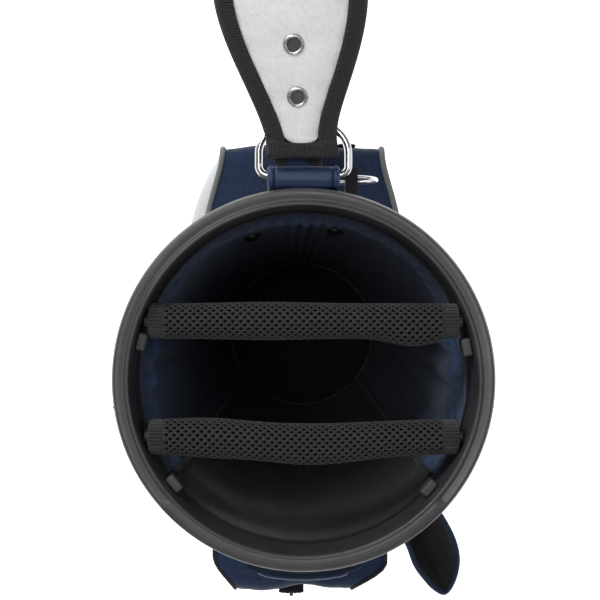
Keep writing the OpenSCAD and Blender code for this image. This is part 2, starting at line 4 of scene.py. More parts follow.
import bmesh
import bpy
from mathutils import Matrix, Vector, noise
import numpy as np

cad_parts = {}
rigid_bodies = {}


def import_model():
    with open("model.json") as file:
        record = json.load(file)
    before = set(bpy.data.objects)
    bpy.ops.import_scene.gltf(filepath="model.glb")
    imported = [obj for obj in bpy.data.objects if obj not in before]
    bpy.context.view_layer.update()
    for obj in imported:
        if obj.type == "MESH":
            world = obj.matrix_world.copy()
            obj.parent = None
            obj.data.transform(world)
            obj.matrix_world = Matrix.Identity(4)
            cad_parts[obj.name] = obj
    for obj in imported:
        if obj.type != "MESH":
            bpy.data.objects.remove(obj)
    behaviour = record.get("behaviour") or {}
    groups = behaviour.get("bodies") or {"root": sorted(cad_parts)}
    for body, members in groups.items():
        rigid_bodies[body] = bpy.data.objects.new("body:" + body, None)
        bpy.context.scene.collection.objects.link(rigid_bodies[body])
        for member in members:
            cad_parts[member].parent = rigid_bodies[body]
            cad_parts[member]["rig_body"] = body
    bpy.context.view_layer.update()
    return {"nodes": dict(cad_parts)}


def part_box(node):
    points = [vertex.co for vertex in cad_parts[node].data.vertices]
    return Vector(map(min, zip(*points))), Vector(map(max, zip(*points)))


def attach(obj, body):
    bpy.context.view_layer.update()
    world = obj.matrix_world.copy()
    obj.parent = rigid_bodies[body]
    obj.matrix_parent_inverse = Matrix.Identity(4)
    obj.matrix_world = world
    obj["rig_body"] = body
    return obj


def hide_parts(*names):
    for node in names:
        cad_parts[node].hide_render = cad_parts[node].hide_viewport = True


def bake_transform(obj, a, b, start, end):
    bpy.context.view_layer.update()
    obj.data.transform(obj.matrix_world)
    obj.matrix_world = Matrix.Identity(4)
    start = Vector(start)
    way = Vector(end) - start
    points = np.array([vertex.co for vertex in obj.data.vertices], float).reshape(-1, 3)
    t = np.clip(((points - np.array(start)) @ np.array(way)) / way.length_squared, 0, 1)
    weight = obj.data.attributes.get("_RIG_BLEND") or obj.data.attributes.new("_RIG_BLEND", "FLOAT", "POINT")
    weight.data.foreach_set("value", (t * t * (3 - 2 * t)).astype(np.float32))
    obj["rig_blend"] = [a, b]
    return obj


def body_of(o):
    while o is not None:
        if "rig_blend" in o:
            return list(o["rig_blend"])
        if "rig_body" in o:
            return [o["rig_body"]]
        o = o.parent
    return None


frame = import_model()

MM = 0.001
TAU = 2 * math.pi

# ---------------------------------------------------------------- measures from the frame
RING_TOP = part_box("top_cuff")[1][2]
SKIRT_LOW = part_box("top_cuff")[0][2]
SHELL_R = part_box("shell")[1][0]
FLOOR_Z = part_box("base_pad")[1][2]
BAR_Z = (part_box("divider_bars")[0][2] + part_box("divider_bars")[1][2]) / 2
BAR_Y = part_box("divider_bars")[1][1] - 0.004
BAR_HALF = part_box("divider_bars")[1][0]


# ---------------------------------------------------------------- mesh helpers
def smooth_step(x):
    x = max(0.0, min(1.0, x))
    return x * x * (3 - 2 * x)


def polar(r, angle, z):
    return Vector((r * math.cos(angle), r * math.sin(angle), z))


def bump_at(x, centre, width):
    return math.exp(-((x - centre) / width) ** 2)


def along(points, v):
    """The point at 0..1 along a list, each of its steps counted alike."""
    k = v * (len(points) - 1)
    i = min(int(k), len(points) - 2)
    return Vector(points[i]) * (1 - k + i) + Vector(points[i + 1]) * (k - i)


def steps_of(points):
    return [(Vector(b) - Vector(a)).length for a, b in zip(points, points[1:])]


def linked(name, mesh):
    piece = bpy.data.objects.new(name, mesh)
    bpy.context.scene.collection.objects.link(piece)
    return piece


def mesh_piece(name, verts, faces, uvs=None, flat=False):
    mesh = bpy.data.meshes.new(name)
    mesh.from_pydata([tuple(v) for v in verts], [], faces)
    mesh.update()
    if uvs:
        layer = mesh.uv_layers.new(name="UVMap")
        for loop in mesh.loops:
            layer.data[loop.index].uv = uvs[loop.vertex_index]
    if not flat:
        mesh.polygons.foreach_set("use_smooth", [True] * len(mesh.polygons))
    return linked(name, mesh)


def grid_piece(name, nu, nv, point, size=(1, 1)):
    """A sheet of quads from point(u, v); the UVs are in metres, as size gives them."""
    cols = nu + 1
    spots = [(i / nu, j / nv) for j in range(nv + 1) for i in range(cols)]
    corners = [j * cols + i for j in range(nv) for i in range(nu)]
    return mesh_piece(name, [point(u, v) for u, v in spots],
                      [(a, a + 1, a + cols + 1, a + cols) for a in corners],
                      [(u * size[0], v * size[1]) for u, v in spots])


def swap_uvs(piece):
    for item in piece.data.uv_layers[0].data:
        item.uv = (item.uv[1], item.uv[0])


def edit_mesh(piece, change):
    bm = bmesh.new()
    bm.from_mesh(piece.data)
    change(bm)
    bm.to_mesh(piece.data)
    bm.free()
    return piece


def weld(piece, distance=1e-5):
    return edit_mesh(piece, lambda bm: bmesh.ops.remove_doubles(bm, verts=bm.verts, dist=distance))


def orient(piece):
    return edit_mesh(piece, lambda bm: bmesh.ops.recalc_face_normals(bm, faces=bm.faces))


def apply_all(piece):
    depsgraph = bpy.context.evaluated_depsgraph_get()
    mesh = bpy.data.meshes.new_from_object(piece.evaluated_get(depsgraph))
    piece.modifiers.clear()
    piece.data = mesh
    return piece


def modify(piece, kind, **settings):
    mod = piece.modifiers.new(kind.lower(), kind)
    for key, value in settings.items():
        setattr(mod, key, value)
    return piece


def thicken(piece, thickness, offset=-1.0):
    modify(piece, "SOLIDIFY", thickness=thickness, offset=offset, use_even_offset=False)
    return apply_all(piece)


def strip(name, nu, nv, point, size, thickness, offset=-1.0):
    """A thickened sheet, its faces turned outwards."""
    return orient(thicken(grid_piece(name, nu, nv, point, size), thickness, offset))


def join(name, pieces):
    bm = bmesh.new()
    slots = []
    for piece in pieces:
        start = len(bm.faces)
        bm.from_mesh(piece.data)
        bm.faces.ensure_lookup_table()
        for face in bm.faces[start:]:
            material = piece.data.materials[face.material_index] if piece.data.materials else None
            if material not in slots:
                slots.append(material)
            face.material_index = slots.index(material)
    mesh = bpy.data.meshes.new(name)
    bm.to_mesh(mesh)
    bm.free()
    for material in slots:
        if material:
            mesh.materials.append(material)
    for piece in pieces:
        bpy.data.objects.remove(piece)
    return linked(name, mesh)


def dress(piece, material, body, slot=None, replaces=()):
    if material is not None:
        piece.data.materials.clear()
        piece.data.materials.append(material)
    if body:
        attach(piece, body)
    if replaces:
        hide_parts(*replaces)
    return piece


def tube_piece(name, points, radius, sides=12, closed=False, up=Vector((0, 0, 1))):
    """A round tube along points; radius is a number or a function of 0..1 along it."""
    pts = [Vector(p) for p in points]
    count = len(pts)
    verts = []
    uvs = []
    travelled = 0.0
    normal = None
    for i, p in enumerate(pts):
        ahead = pts[(i + 1) % count] if closed else pts[min(i + 1, count - 1)]
        behind = pts[i - 1] if (closed or i) else pts[0]
        tangent = (ahead - behind).normalized()
        if normal is None:
            normal = up.cross(tangent)
            if normal.length < 1e-4:
                normal = Vector((1, 0, 0)).cross(tangent)
        normal = (normal - tangent * normal.dot(tangent)).normalized()
        side = tangent.cross(normal)
        if i:
            travelled += (p - pts[i - 1]).length
        r = radius(i / max(1, count - 1)) if callable(radius) else radius
        for k in range(sides):
            a = TAU * k / sides
            verts.append(p + normal * (r * math.cos(a)) + side * (r * math.sin(a)))
            uvs.append((travelled, a * r))
    faces = []
    rings = count if closed else count - 1
    for i in range(rings):
        a = i * sides
        b = ((i + 1) % count) * sides
        for k in range(sides):
            n = (k + 1) % sides
            faces.append((a + k, a + n, b + n, b + k))
    if not closed:
        faces.append(tuple(reversed(range(sides))))
        faces.append(tuple(range((count - 1) * sides, count * sides)))
    return mesh_piece(name, verts, faces, uvs)


def turned_piece(name, profile, place, steps, closed=True):
    """Turns an outline of (radius, height); place(angle, radius, height) gives a point."""
    count = len(profile)
    verts = []
    uvs = []
    faces = []
    for i in range(steps):
        a = TAU * i / steps
        j = (i + 1) % steps
        for k, (r, h) in enumerate(profile):
            verts.append(place(a, r, h))
            uvs.append((a * r, k / count))
        for k in range(count if closed else count - 1):
            n = (k + 1) % count
            faces.append((i * count + k, j * count + k, j * count + n, i * count + n))
    if not closed:
        faces.append(tuple(i * count for i in range(steps)))
        faces.append(tuple(i * count + count - 1 for i in reversed(range(steps))))
    return orient(mesh_piece(name, verts, faces, uvs))


def softened(name, node, width, segments=3, angle=35):
    """The CAD node's own shape with its edges rounded, as a new piece."""
    mesh = frame["nodes"][node].data.copy()
    mesh.materials.clear()
    piece = weld(linked(name, mesh), 2e-5)
    edit_mesh(piece, lambda bm: bmesh.ops.dissolve_limit(
        bm, angle_limit=math.radians(4), verts=bm.verts, edges=bm.edges))
    modify(piece, "BEVEL", width=width, segments=segments, limit_method="ANGLE",
           angle_limit=math.radians(angle), harden_normals=False, miter_outer="MITER_ARC")
    apply_all(piece)
    piece.data.polygons.foreach_set("use_smooth", [True] * len(piece.data.polygons))
    modify(piece, "WEIGHTED_NORMAL", keep_sharp=True, weight=60)
    return apply_all(piece)


# ---------------------------------------------------------------- materials
def srgb(*rgb):
    return tuple((c / 255 / 12.92) if c <= 10 else ((c / 255 + 0.055) / 1.055) ** 2.4 for c in rgb) + (1,)


class Shader:
    """A Principled material and short calls for the nodes that feed it."""

    def __init__(self, name, color, rough, **sockets):
        self.mat = bpy.data.materials.new(name)
        self.mat.use_nodes = True
        self.mat.diffuse_color = color
        self.nodes = self.mat.node_tree.nodes
        self.links = self.mat.node_tree.links
        self.bsdf = self.nodes["Principled BSDF"]
        self.set("Base Color", color)
        self.set("Roughness", rough)
        for key, value in sockets.items():
            self.set(key.replace("_", " "), value)
        self.coord = self.nodes.new("ShaderNodeTexCoord")
        self.height = None

    def set(self, socket, value):
        self.bsdf.inputs[socket].default_value = value

    def put(self, socket, value):
        if isinstance(value, (int, float, tuple)):
            socket.default_value = value
        else:
            self.links.new(value, socket)

    def add(self, kind, vector=None, **values):
        """A new node; capitalised values are its inputs, and the rest its settings."""
        node = self.nodes.new("ShaderNode" + kind)
        for key, value in values.items():
            if key[0].isupper():
                self.put(node.inputs[key], value)
            else:
                setattr(node, key, value)
        if vector is not None:
            self.put(node.inputs["Vector"], vector)
        return node

    def space(self, kind="Object", scale=(1, 1, 1)):
        return self.add("Mapping", self.coord.outputs[kind], Scale=scale).outputs["Vector"]

    def noise(self, vector, scale, detail=3.0, rough=0.55):
        return self.add("TexNoise", vector, Scale=scale, Detail=detail, Roughness=rough).outputs["Fac"]

    def cells(self, vector, scale):
        return self.add("TexVoronoi", vector, Scale=scale).outputs["Distance"]

    def bands(self, vector, axis, pitch, warp=0.0):
        return self.add("TexWave", vector, wave_type="BANDS", bands_direction=axis, Scale=math.pi / 10 / pitch,
                        Distortion=warp, Detail=0.0).outputs["Fac"]

    def math(self, operation, a, b):
        node = self.add("Math", operation=operation)
        for socket, value in zip(node.inputs, (a, b)):
            self.put(socket, value)
        return node.outputs[0]

    def span(self, value, low, high, to_low=0.0, to_high=1.0):
        node = self.add("MapRange")
        for socket, item in zip(node.inputs, (value, low, high, to_low, to_high)):
            self.put(socket, item)
        return node.outputs[0]

    def mix(self, factor, a, b):
        node = self.add("Mix", data_type="RGBA")
        for socket, value in zip((node.inputs["Factor"], node.inputs[6], node.inputs[7]), (factor, a, b)):
            self.put(socket, value)
        return node.outputs[2]

    def color(self, source):
        self.put(self.bsdf.inputs["Base Color"], source)

    def rough(self, source):
        self.put(self.bsdf.inputs["Roughness"], source)

    def bump(self, source, depth):
        node = self.add("Bump", Strength=1.0, Distance=depth, Height=source)
        if self.height:
            self.put(node.inputs["Normal"], self.height)
        self.height = node.outputs["Normal"]
        self.put(self.bsdf.inputs["Normal"], self.height)
        return self


def shade(color, factor):
    return tuple(min(1.0, c * factor) for c in color[:3]) + (1,)


def woven(name, color, crown_highlight, pitch, coords="Object", depth=0.00025, rough=0.8, sheen=0.15):
    """Plain weave: crossing yarns, yarn crowns painted lighter as a painted highlight, slow wear and fading.
    """
    s = Shader(name, color, rough, Sheen_Weight=sheen, Sheen_Roughness=0.5,
               Specular_IOR_Level=0.3)
    vector = s.space(coords)
    warp = s.bands(vector, "X", pitch, 0.3)
    weft = s.bands(vector, "Y", pitch, 0.3)
    if coords == "Object":
        weft = s.math("MULTIPLY", s.math("ADD", weft, s.bands(vector, "Z", pitch, 0.3)), 0.5)
    over = s.math("MULTIPLY", warp, weft)
    under = s.math("MULTIPLY", s.math("SUBTRACT", 1.0, warp), s.math("SUBTRACT", 1.0, weft))
    weave = s.math("ADD", over, under)
    slub = s.noise(vector, 0.35 / pitch, 2.0)
    fade = s.noise(vector, 9.0, 4.0)
    # painted highlight: the raised yarn crowns take the lighter colour, standing in for light on them
    lit_crown = s.math("MULTIPLY", weave, s.span(slub, 0.3, 0.75))
    base = s.mix(s.span(fade, 0.3, 0.7), shade(color, 0.82), shade(color, 1.16))
    s.color(s.mix(lit_crown, base, crown_highlight))
    s.rough(s.span(fade, 0.2, 0.8, rough - 0.07, rough + 0.08))
    s.bump(s.noise(vector, 60.0, 3.0), depth * 1.2)
    return s.bump(weave, depth).mat


def ribbed(name, color, pitch, axis="X", depth=0.0004, rough=0.75, light=2.2):
    """Webbing or grosgrain: ribs one way, fine yarns the other, along the UVs."""
    s = Shader(name, color, rough, Sheen_Weight=0.2, Specular_IOR_Level=0.35)
    vector = s.space("UV")
    ribs = s.bands(vector, axis, pitch, 0.15)
    yarn = s.bands(vector, "Y" if axis == "X" else "X", pitch * 0.45, 0.4)
    fuzz = s.noise(vector, 900.0, 3.0)
    # painted highlight and painted shade: rib crowns are lightened by the light factor and the troughs
    # darkened
    lit_crown = s.math("MULTIPLY", ribs, s.span(fuzz, 0.25, 0.8, 0.35, 1.0))
    s.color(s.mix(lit_crown, shade(color, 0.55), shade(color, light)))
    s.bump(yarn, depth * 0.3)
    return s.bump(ribs, depth).mat


def moulded(name, color, rough=0.42, grain=0.00006, grain_scale=1400.0, coat=0.0):
    """Injection-moulded plastic: fine spark grain, handling marks in the gloss."""
    s = Shader(name, color, rough, Coat_Weight=coat, Coat_Roughness=0.2, Specular_IOR_Level=0.45)
    vector = s.space()
    marks = s.noise(vector, 22.0, 6.0, 0.7)
    s.rough(s.span(marks, 0.3, 0.7, rough - 0.06, rough + 0.08))
    s.color(s.mix(s.span(s.noise(vector, 45.0, 5.0), 0.35, 0.7), shade(color, 0.88), shade(color, 1.14)))
    return s.bump(s.noise(vector, grain_scale, 2.0), grain).mat


def metal(name, color, rough, brushed=0.0):
    s = Shader(name, color, rough, Metallic=1.0)
    vector = s.space(scale=(1, 1, 0.06) if brushed else (1, 1, 1))
    marks = s.noise(vector, 900.0 if brushed else 120.0, 4.0, 0.6)
    s.rough(s.span(marks, 0.3, 0.7, max(0.03, rough - 0.04), rough + 0.07 + brushed))
    s.color(s.mix(s.span(s.noise(s.space(), 60.0, 4.0), 0.35, 0.7), shade(color, 0.9), color))
    return s.bump(marks, 0.00002 + 0.00004 * brushed).mat


def leather(name, color):
    s = Shader(name, color, 0.5, Specular_IOR_Level=0.4, Coat_Weight=0.08, Coat_Roughness=0.4)
    vector = s.space()
    pores = s.cells(vector, 1500.0)
    fade = s.noise(vector, 70.0, 4.0)
    s.color(s.mix(s.span(fade, 0.35, 0.7), shade(color, 0.85), shade(color, 1.2)))
    s.rough(s.span(fade, 0.3, 0.7, 0.42, 0.58))
    s.bump(s.noise(vector, 180.0, 4.0), 0.00015)
    return s.bump(pores, 0.00008).mat


def felted(name, color, shadow):
    s = Shader(name, color, 0.95, Sheen_Weight=0.5, Sheen_Roughness=0.7, Specular_IOR_Level=0.1)
    vector = s.space()
    fibres = s.noise(vector, 1300.0, 6.0, 0.75)
    tufts = s.noise(vector, 520.0, 6.0, 0.75)
    s.color(s.mix(s.span(tufts, 0.32, 0.55), shadow, color))
    s.bump(tufts, 0.0007)
    return s.bump(fibres, 0.0005).mat


def foam_rubber(name, color, rough=0.9, scale=1100.0, depth=0.0002):
    s = Shader(name, color, rough, Specular_IOR_Level=0.25)
    vector = s.space()
    s.color(s.mix(s.span(s.noise(vector, 30.0, 5.0), 0.35, 0.7), shade(color, 0.8), shade(color, 1.3)))
    return s.bump(s.cells(vector, scale), depth).mat


NAVY = srgb(22, 38, 62)
M = {
    "cuff": moulded("cuff_plastic", srgb(64, 64, 66), 0.38, 0.00005),
    "lug": moulded("lug_plastic", srgb(62, 63, 65), 0.55),
    "base": moulded("base_plastic", srgb(38, 38, 41), 0.5, 0.00012, 900.0),
    "screw": moulded("screw_plastic", srgb(24, 24, 26), 0.3),
    "fibreglass": moulded("fibreglass", srgb(190, 190, 176), 0.4),
    "liner": woven("liner_weave", srgb(24, 46, 82), srgb(96, 126, 172), 0.0017, "UV", 0.0003),
    "back_lining": woven("back_lining_weave", srgb(11, 11, 13), srgb(38, 38, 42), 0.0018, "UV", 0.0003),
    "tape": woven("skirt_tape", srgb(14, 17, 24), srgb(24, 28, 40), 0.0010, "UV", 0.0001),
    "navy": woven("navy_weave", NAVY, srgb(42, 60, 96), 0.0011, "Object", 0.00012, 0.72),
    "shell": woven("shell_weave", NAVY, srgb(42, 60, 96), 0.0011, "UV", 0.00012, 0.72),
    "black": woven("black_weave", srgb(20, 20, 23), srgb(40, 40, 45), 0.0012, "Object", 0.00015),
    "white": woven("white_weave", srgb(214, 216, 218), srgb(238, 239, 240), 0.0010, "Object", 0.0001, 0.8),
    "leather": leather("navy_leather", srgb(34, 53, 88)),
    "felt": felted("white_felt", srgb(248, 248, 248), srgb(232, 233, 235)),
    "grosgrain": ribbed("grosgrain", srgb(26, 26, 27), 0.0014, "X", 0.0007),
    "webbing": ribbed("webbing", srgb(27, 27, 30), 0.0022, "X", 0.0004),
    "band": ribbed("bar_band_weave", srgb(34, 34, 37), 0.0019, "Y", 0.0006),
    "thread": ribbed("stitch_thread", srgb(34, 50, 84), 0.0006, "X", 0.0001, 0.6, 1.6),
    "dark_thread": ribbed("dark_thread", srgb(30, 30, 33), 0.0006, "X", 0.0001, 0.6, 1.6),
    "piping": ribbed("grey_piping", srgb(142, 144, 144), 0.0012, "X", 0.0002, 0.7, 1.15),
    "net": woven("spacer_net", srgb(30, 30, 31), srgb(66, 66, 68), 0.0005, "Object", 0.00008, 0.6),
    "foam": foam_rubber("black_foam", srgb(13, 13, 14)),
    "rubber": foam_rubber("tread_rubber", srgb(26, 26, 27), 0.8, 500.0, 0.0001),
    "chrome": metal("polished_chrome", (0.78, 0.79, 0.8, 1), 0.09),
    "steel": metal("plain_steel", (0.55, 0.56, 0.58, 1), 0.25, 0.08),
    "nickel": metal("black_nickel", (0.06, 0.06, 0.065, 1), 0.3),
    # painted shade: dark grey for the hole inside each strap eyelet
    "hole_shade_disc": foam_rubber("eyelet_hole_shade", srgb(84, 84, 86)),
    "leg": metal("anodised_tube", srgb(92, 95, 100), 0.32, 0.1),
}

# ---------------------------------------------------------------- camera, floor and lights
camera_data = bpy.data.cameras.new("camera")
camera_data.lens = 67.65
camera_data.sensor_width = 36
camera_data.clip_end = 20
camera = linked("camera", camera_data)
camera.location = (-0.00197, 0.0436, 1.49)
bpy.context.scene.camera = camera


def lamp(name, place, aim, size, power):
    data = bpy.data.lights.new(name, "AREA")
    data.shape = "RECTANGLE"
    data.size, data.size_y = size
    data.energy = power
    light = linked(name, data)
    light.location = place
    light.rotation_euler = (Vector(aim) - Vector(place)).to_track_quat("-Z", "Y").to_euler()


lamp("softbox_key", (-0.75, 1.15, 1.95), (0, 0, 0.85), (0.9, 0.6), 15)
lamp("softbox_overhead", (-0.12, 0.12, 2.9), (0, 0, 0.5), (0.5, 0.5), 10)
lamp("softbox_right", (1.3, 0.2, 1.9), (0, 0, 0.7), (0.7, 1.2), 2.6)
lamp("softbox_front", (0.2, -1.7, 1.3), (0, 0, 0.5), (1.2, 1.2), 8)
lamp("softbox_back", (-1.3, 1.2, 1.1), (0, 0.1, 0.5), (1.0, 1.4), 6)

world = bpy.data.worlds.new("studio")
world.use_nodes = True
sky = world.node_tree.nodes["Background"].inputs
sky["Color"].default_value = (1, 1, 1, 1)
sky["Strength"].default_value = 0.22
bpy.context.scene.world = world
bpy.context.scene.view_settings.view_transform = "Standard"

floor_shader = Shader("studio_floor", (0.9, 0.9, 0.9, 1), 0.9)
floor_shader.set("Emission Color", (1, 1, 1, 1))
floor_shader.set("Emission Strength", 0.85)
floor = grid_piece("studio_floor", 2, 2, lambda u, v: Vector((60 * u - 30, 60 * v - 30, -0.0005)))
floor.data.materials.append(floor_shader.mat)

# ---------------------------------------------------------------- mouth ring
RING_PROFILE = [
    (105, -42), (105, -7), (104.6, -4.5), (103.6, -2.2), (103.2, -1.6), (102, -1.6), (100, -2),
    (98.6, -2.4), (97.9, -2.5), (97.3, -1.2), (96.5, -0.2), (95.8, 0), (95.1, -0.8), (94.9, -2.5),
    (94.8, -8), (93.5, -57.4), (93.8, -58), (95, -58), (95.3, -57.4), (95.7, -34.2), (96.8, -33),
    (97, -9), (102.2, -9), (102.4, -41.6), (103, -42),
]


def ring_point(angle, r, z):
    """The ring's outline, with a raised band round part of its top."""
    degrees = math.degrees(angle) % 360
    inside = smooth_step((degrees - 221) / 1.6) * smooth_step((319 - degrees) / 1.6)
    drop = RING_TOP - z
    if 0.0977 < r < 0.1042 and drop < 0.006:
        z += inside * (RING_TOP - 0.0005 - max(0.0, r - 0.1028) * 0.9 - z)
    return polar(r, angle, z)


def close_profile(points, step=3.0):
    """Adds points on the long straight runs, so that bevels stay crisp under smooth shading."""
    result = []
    for i, (r, z) in enumerate(points):
        nr, nz = points[(i + 1) % len(points)]
        result.append((r * MM, RING_TOP + z * MM))
        length = math.hypot(nr - r, nz - z)
        if length > step:
            for t in (0.6 / length, 1 - 0.6 / length):
                result.append(((r + (nr - r) * t) * MM, RING_TOP + (z + (nz - z) * t) * MM))
    return result


cuff = turned_piece("mouth_ring", close_profile(RING_PROFILE), ring_point, 360)
dress(cuff, M["cuff"], "bag", "cuff_plastic", ["top_cuff"])

lugs = softened("ring_lugs", "cuff_lugs", 0.0012)
dress(lugs, M["lug"], "bag", "lug_plastic", ["cuff_lugs"])

# ---------------------------------------------------------------- divider bars
SLEEVE_R = 0.0098
SLEEVE_HALF = BAR_HALF - 0.0112
HOLE_X = 0.0042
HOLE_ROWS = 30


def bar_swell(side, x, a):
    """How far the padded bar bulges off round at x, towards a (0 is +Y, a quarter turn is up)."""
    lean = max(0.0, math.cos(a - math.pi)) ** 2
    if side < 0:
        return 0.0034 * bump_at(x, 0.004, 0.034) * lean + 0.0012 * bump_at(x, -0.05, 0.02)
    return 0.0042 * bump_at(x, 0.060, 0.016) * lean + 0.0008 * bump_at(x, -0.02, 0.03)


def on_bar(side, x, a, r):
    sag = 0.0026 * bump_at(x, 0.004, 0.048) if side < 0 else 0.0
    y = side * BAR_Y - sag + r * math.cos(a)
    return Vector((x, y, BAR_Z + r * math.sin(a)))


def bar_net(side):
    """Spacer mesh: a sheet with staggered rows of round holes, closed over a foam core."""
    count = int(2 * SLEEVE_HALF / HOLE_X)
    step = 2 * SLEEVE_HALF / count
    rim = 8
    verts = []
    faces = []
    row_angle = TAU / HOLE_ROWS
    index = {}

    def corner(i, j):
        """Corners of the brick-like cells: two per cell edge."""
        key = (i, j % (2 * HOLE_ROWS))
        if key not in index:
            x = -SLEEVE_HALF + i * step / 2
            a = j * row_angle / 2
            r = SLEEVE_R + bar_swell(side, x, a)
            index[key] = len(verts)
            verts.append(on_bar(side, max(-SLEEVE_HALF, min(SLEEVE_HALF, x)), a, r))
        return index[key]

    for row in range(HOLE_ROWS):
        shift = row % 2
        for i in range(count):
            i0 = 2 * i + shift
            if i0 + 2 > 2 * count:
                continue
            j0 = 2 * row
            outer = [corner(i0, j0), corner(i0 + 1, j0), corner(i0 + 2, j0), corner(i0 + 2, j0 + 1),
                     corner(i0 + 2, j0 + 2), corner(i0 + 1, j0 + 2), corner(i0, j0 + 2),
                     corner(i0, j0 + 1)]
            x_mid = -SLEEVE_HALF + (i0 + 1) * step / 2
            a_mid = (j0 + 1) * row_angle / 2
            inner = []
            for k in range(rim):
                turn = TAU * (k / rim) - 0.75 * math.pi
                dx = 0.25 * step * math.cos(turn)
                da = 0.41 * row_angle * math.sin(turn)
                r = SLEEVE_R - 0.00025 + bar_swell(side, x_mid + dx, a_mid + da)
                inner.append(len(verts))
                verts.append(on_bar(side, x_mid + dx, a_mid + da, r))
            for k in range(rim):
                n = (k + 1) % rim
                faces.append((outer[k], outer[n], inner[n], inner[k]))
    for row in range(1, HOLE_ROWS, 2):
        for i0 in (0, 2 * count - 1):
            faces.append(tuple(corner(i, j) for i, j in (
                (i0, 2 * row), (i0 + 1, 2 * row), (i0 + 1, 2 * row + 1), (i0 + 1, 2 * row + 2),
                (i0, 2 * row + 2), (i0, 2 * row + 1))))
    return mesh_piece("net", verts, faces)


BAND_PROFILE = [(0.0025, 0.0062), (0.0030, 0.0090), (0.0042, 0.0097), (0.0085, 0.0098), (0.0108, 0.0097),
                (0.0118, 0.0090), (0.0121, 0.0080)]


def bar_parts(side):
    label = "upper" if side > 0 else "lower"
    net = thicken(orient(bar_net(side)), 0.0007)
    net.name = "divider_net_" + label
    dress(net, M["net"], "bag", "mesh")
    core = grid_piece("divider_foam_" + label, 96, 48, lambda u, v: on_bar(
        side, (2 * u - 1) * SLEEVE_HALF, -TAU * v,
        SLEEVE_R - 0.0016 + bar_swell(side, (2 * u - 1) * SLEEVE_HALF, -TAU * v)))
    dress(weld(core), M["foam"], "bag", "foam")
    bands = []
    for end in (-1, 1):
        def point(u, v, end=end):
            x, r = along(BAND_PROFILE, u)
            a = TAU * v
            return on_bar(side, end * (BAR_HALF - x), a, r * (1 + 0.004 * math.sin(20 * a)))
        band = orient(weld(grid_piece("band", 24, 120, point, (0.011, 0.0617))))
        bands.append(thicken(band, 0.0009))
    band = join("divider_bands_" + label, bands)
    dress(band, M["band"], "bag", "webbing")


bar_parts(1)
bar_parts(-1)
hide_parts("divider_sleeves")
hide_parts("divider_end_bands")
rods_in_bars = softened("divider_rods", "divider_bars", 0.0008)
dress(rods_in_bars, M["base"], "bag", "bar_tube", ["divider_bars"])

# ---------------------------------------------------------------- inside: liner and back lining
LINER_TOP = SKIRT_LOW + 0.0295
LINER_LOW = FLOOR_Z + 0.002
SPLIT_LEFT = math.radians(217)
SPLIT_RIGHT = math.radians(322)


def lining_r(a, z):
    """Radius of the lining: sewn round the inside of the ring, with slack folds below it."""
    h = (z - LINER_LOW) / (LINER_TOP - LINER_LOW)
    free = smooth_step((SKIRT_LOW + 0.003 - z) / 0.006)
    d = (math.degrees(a) + 90) % 360 - 90
    slack = 0.0026 * noise.noise(Vector((math.cos(a) * 2.2, math.sin(a) * 2.2, h * 2.4)))
    slack += 0.0012 * noise.noise(Vector((math.cos(a) * 6, math.sin(a) * 6, h * 7 + 3)))
    gathers = 0.0030 * bump_at(d, 88, 11) * math.sin(math.radians(d) * 40 + 2.5 * h)
    side = 0.0052 * bump_at(d, 4, 17) * math.sin(math.radians(d) * 13 + 5 * h)
    deep = 0.0042 * bump_at(d, 174, 18) * math.sin(math.radians(d) * 15 + 3 * h + 1)
    inward = 0.0018 + 0.004 * h * (1 - h) * bump_at(d, 90, 60)
    near = smooth_step(h / 0.12)
    folds = inward + near * (abs(slack) + abs(gathers) + abs(side) + abs(deep))
    hung = 0.0929 + 0.0265 * max(0.0, z - SKIRT_LOW)
    return hung - free * folds - (1 - free) * 0.15 * near * (abs(gathers) + abs(side))


def lining(name, start, end, steps, out=0.0):
    def point(u, v):
        a = start + (end - start) * u
        z = LINER_LOW + (LINER_TOP - LINER_LOW) * v
        drop = 0.0006 * math.sin(a * 3)
        return polar(lining_r(a, z) - out, a, z + drop * v * (1 - v))
    size = (0.092 * (end - start), LINER_TOP - LINER_LOW)
    return thicken(grid_piece(name, steps, 190, point, size), 0.0006, 1)


liner = lining("navy_liner", SPLIT_RIGHT - TAU - 0.02, SPLIT_LEFT + 0.02, 300)
dress(liner, M["liner"], "bag", "lining", ["liner"])
back_lining = lining("back_lining", SPLIT_LEFT, SPLIT_RIGHT, 130, 0.0007)
dress(back_lining, M["back_lining"], "bag", "lining", ["liner_back_panel"])


HEM_ANGLES = [TAU * i / 240 for i in range(240)]
hem = tube_piece("lining_hem", [polar(lining_r(a, LINER_TOP) - 0.0002, a, LINER_TOP) for a in HEM_ANGLES],
                 0.0008, 10, closed=True)
dress(orient(hem), M["tape"], "bag", "lining")


def lining_seam(a, width=0.004, out=0.0016):
    """A turned seam allowance running down the lining."""
    def point(u, v):
        z = LINER_LOW + (LINER_TOP - 0.004 - LINER_LOW) * v
        angle = a + 0.004 * math.sin(9 * v)
        lift = out * math.sin(math.pi * u) ** 0.5
        return polar(lining_r(angle, z) - 0.0014 - lift, angle + (u - 0.5) * width / 0.09, z)
    return thicken(grid_piece("seam", 10, 240, point, (width, 0.78)), 0.0004, 1)


dress(join("lining_seams", [lining_seam(SPLIT_LEFT), lining_seam(SPLIT_RIGHT)]), M["tape"], "bag", "lining")

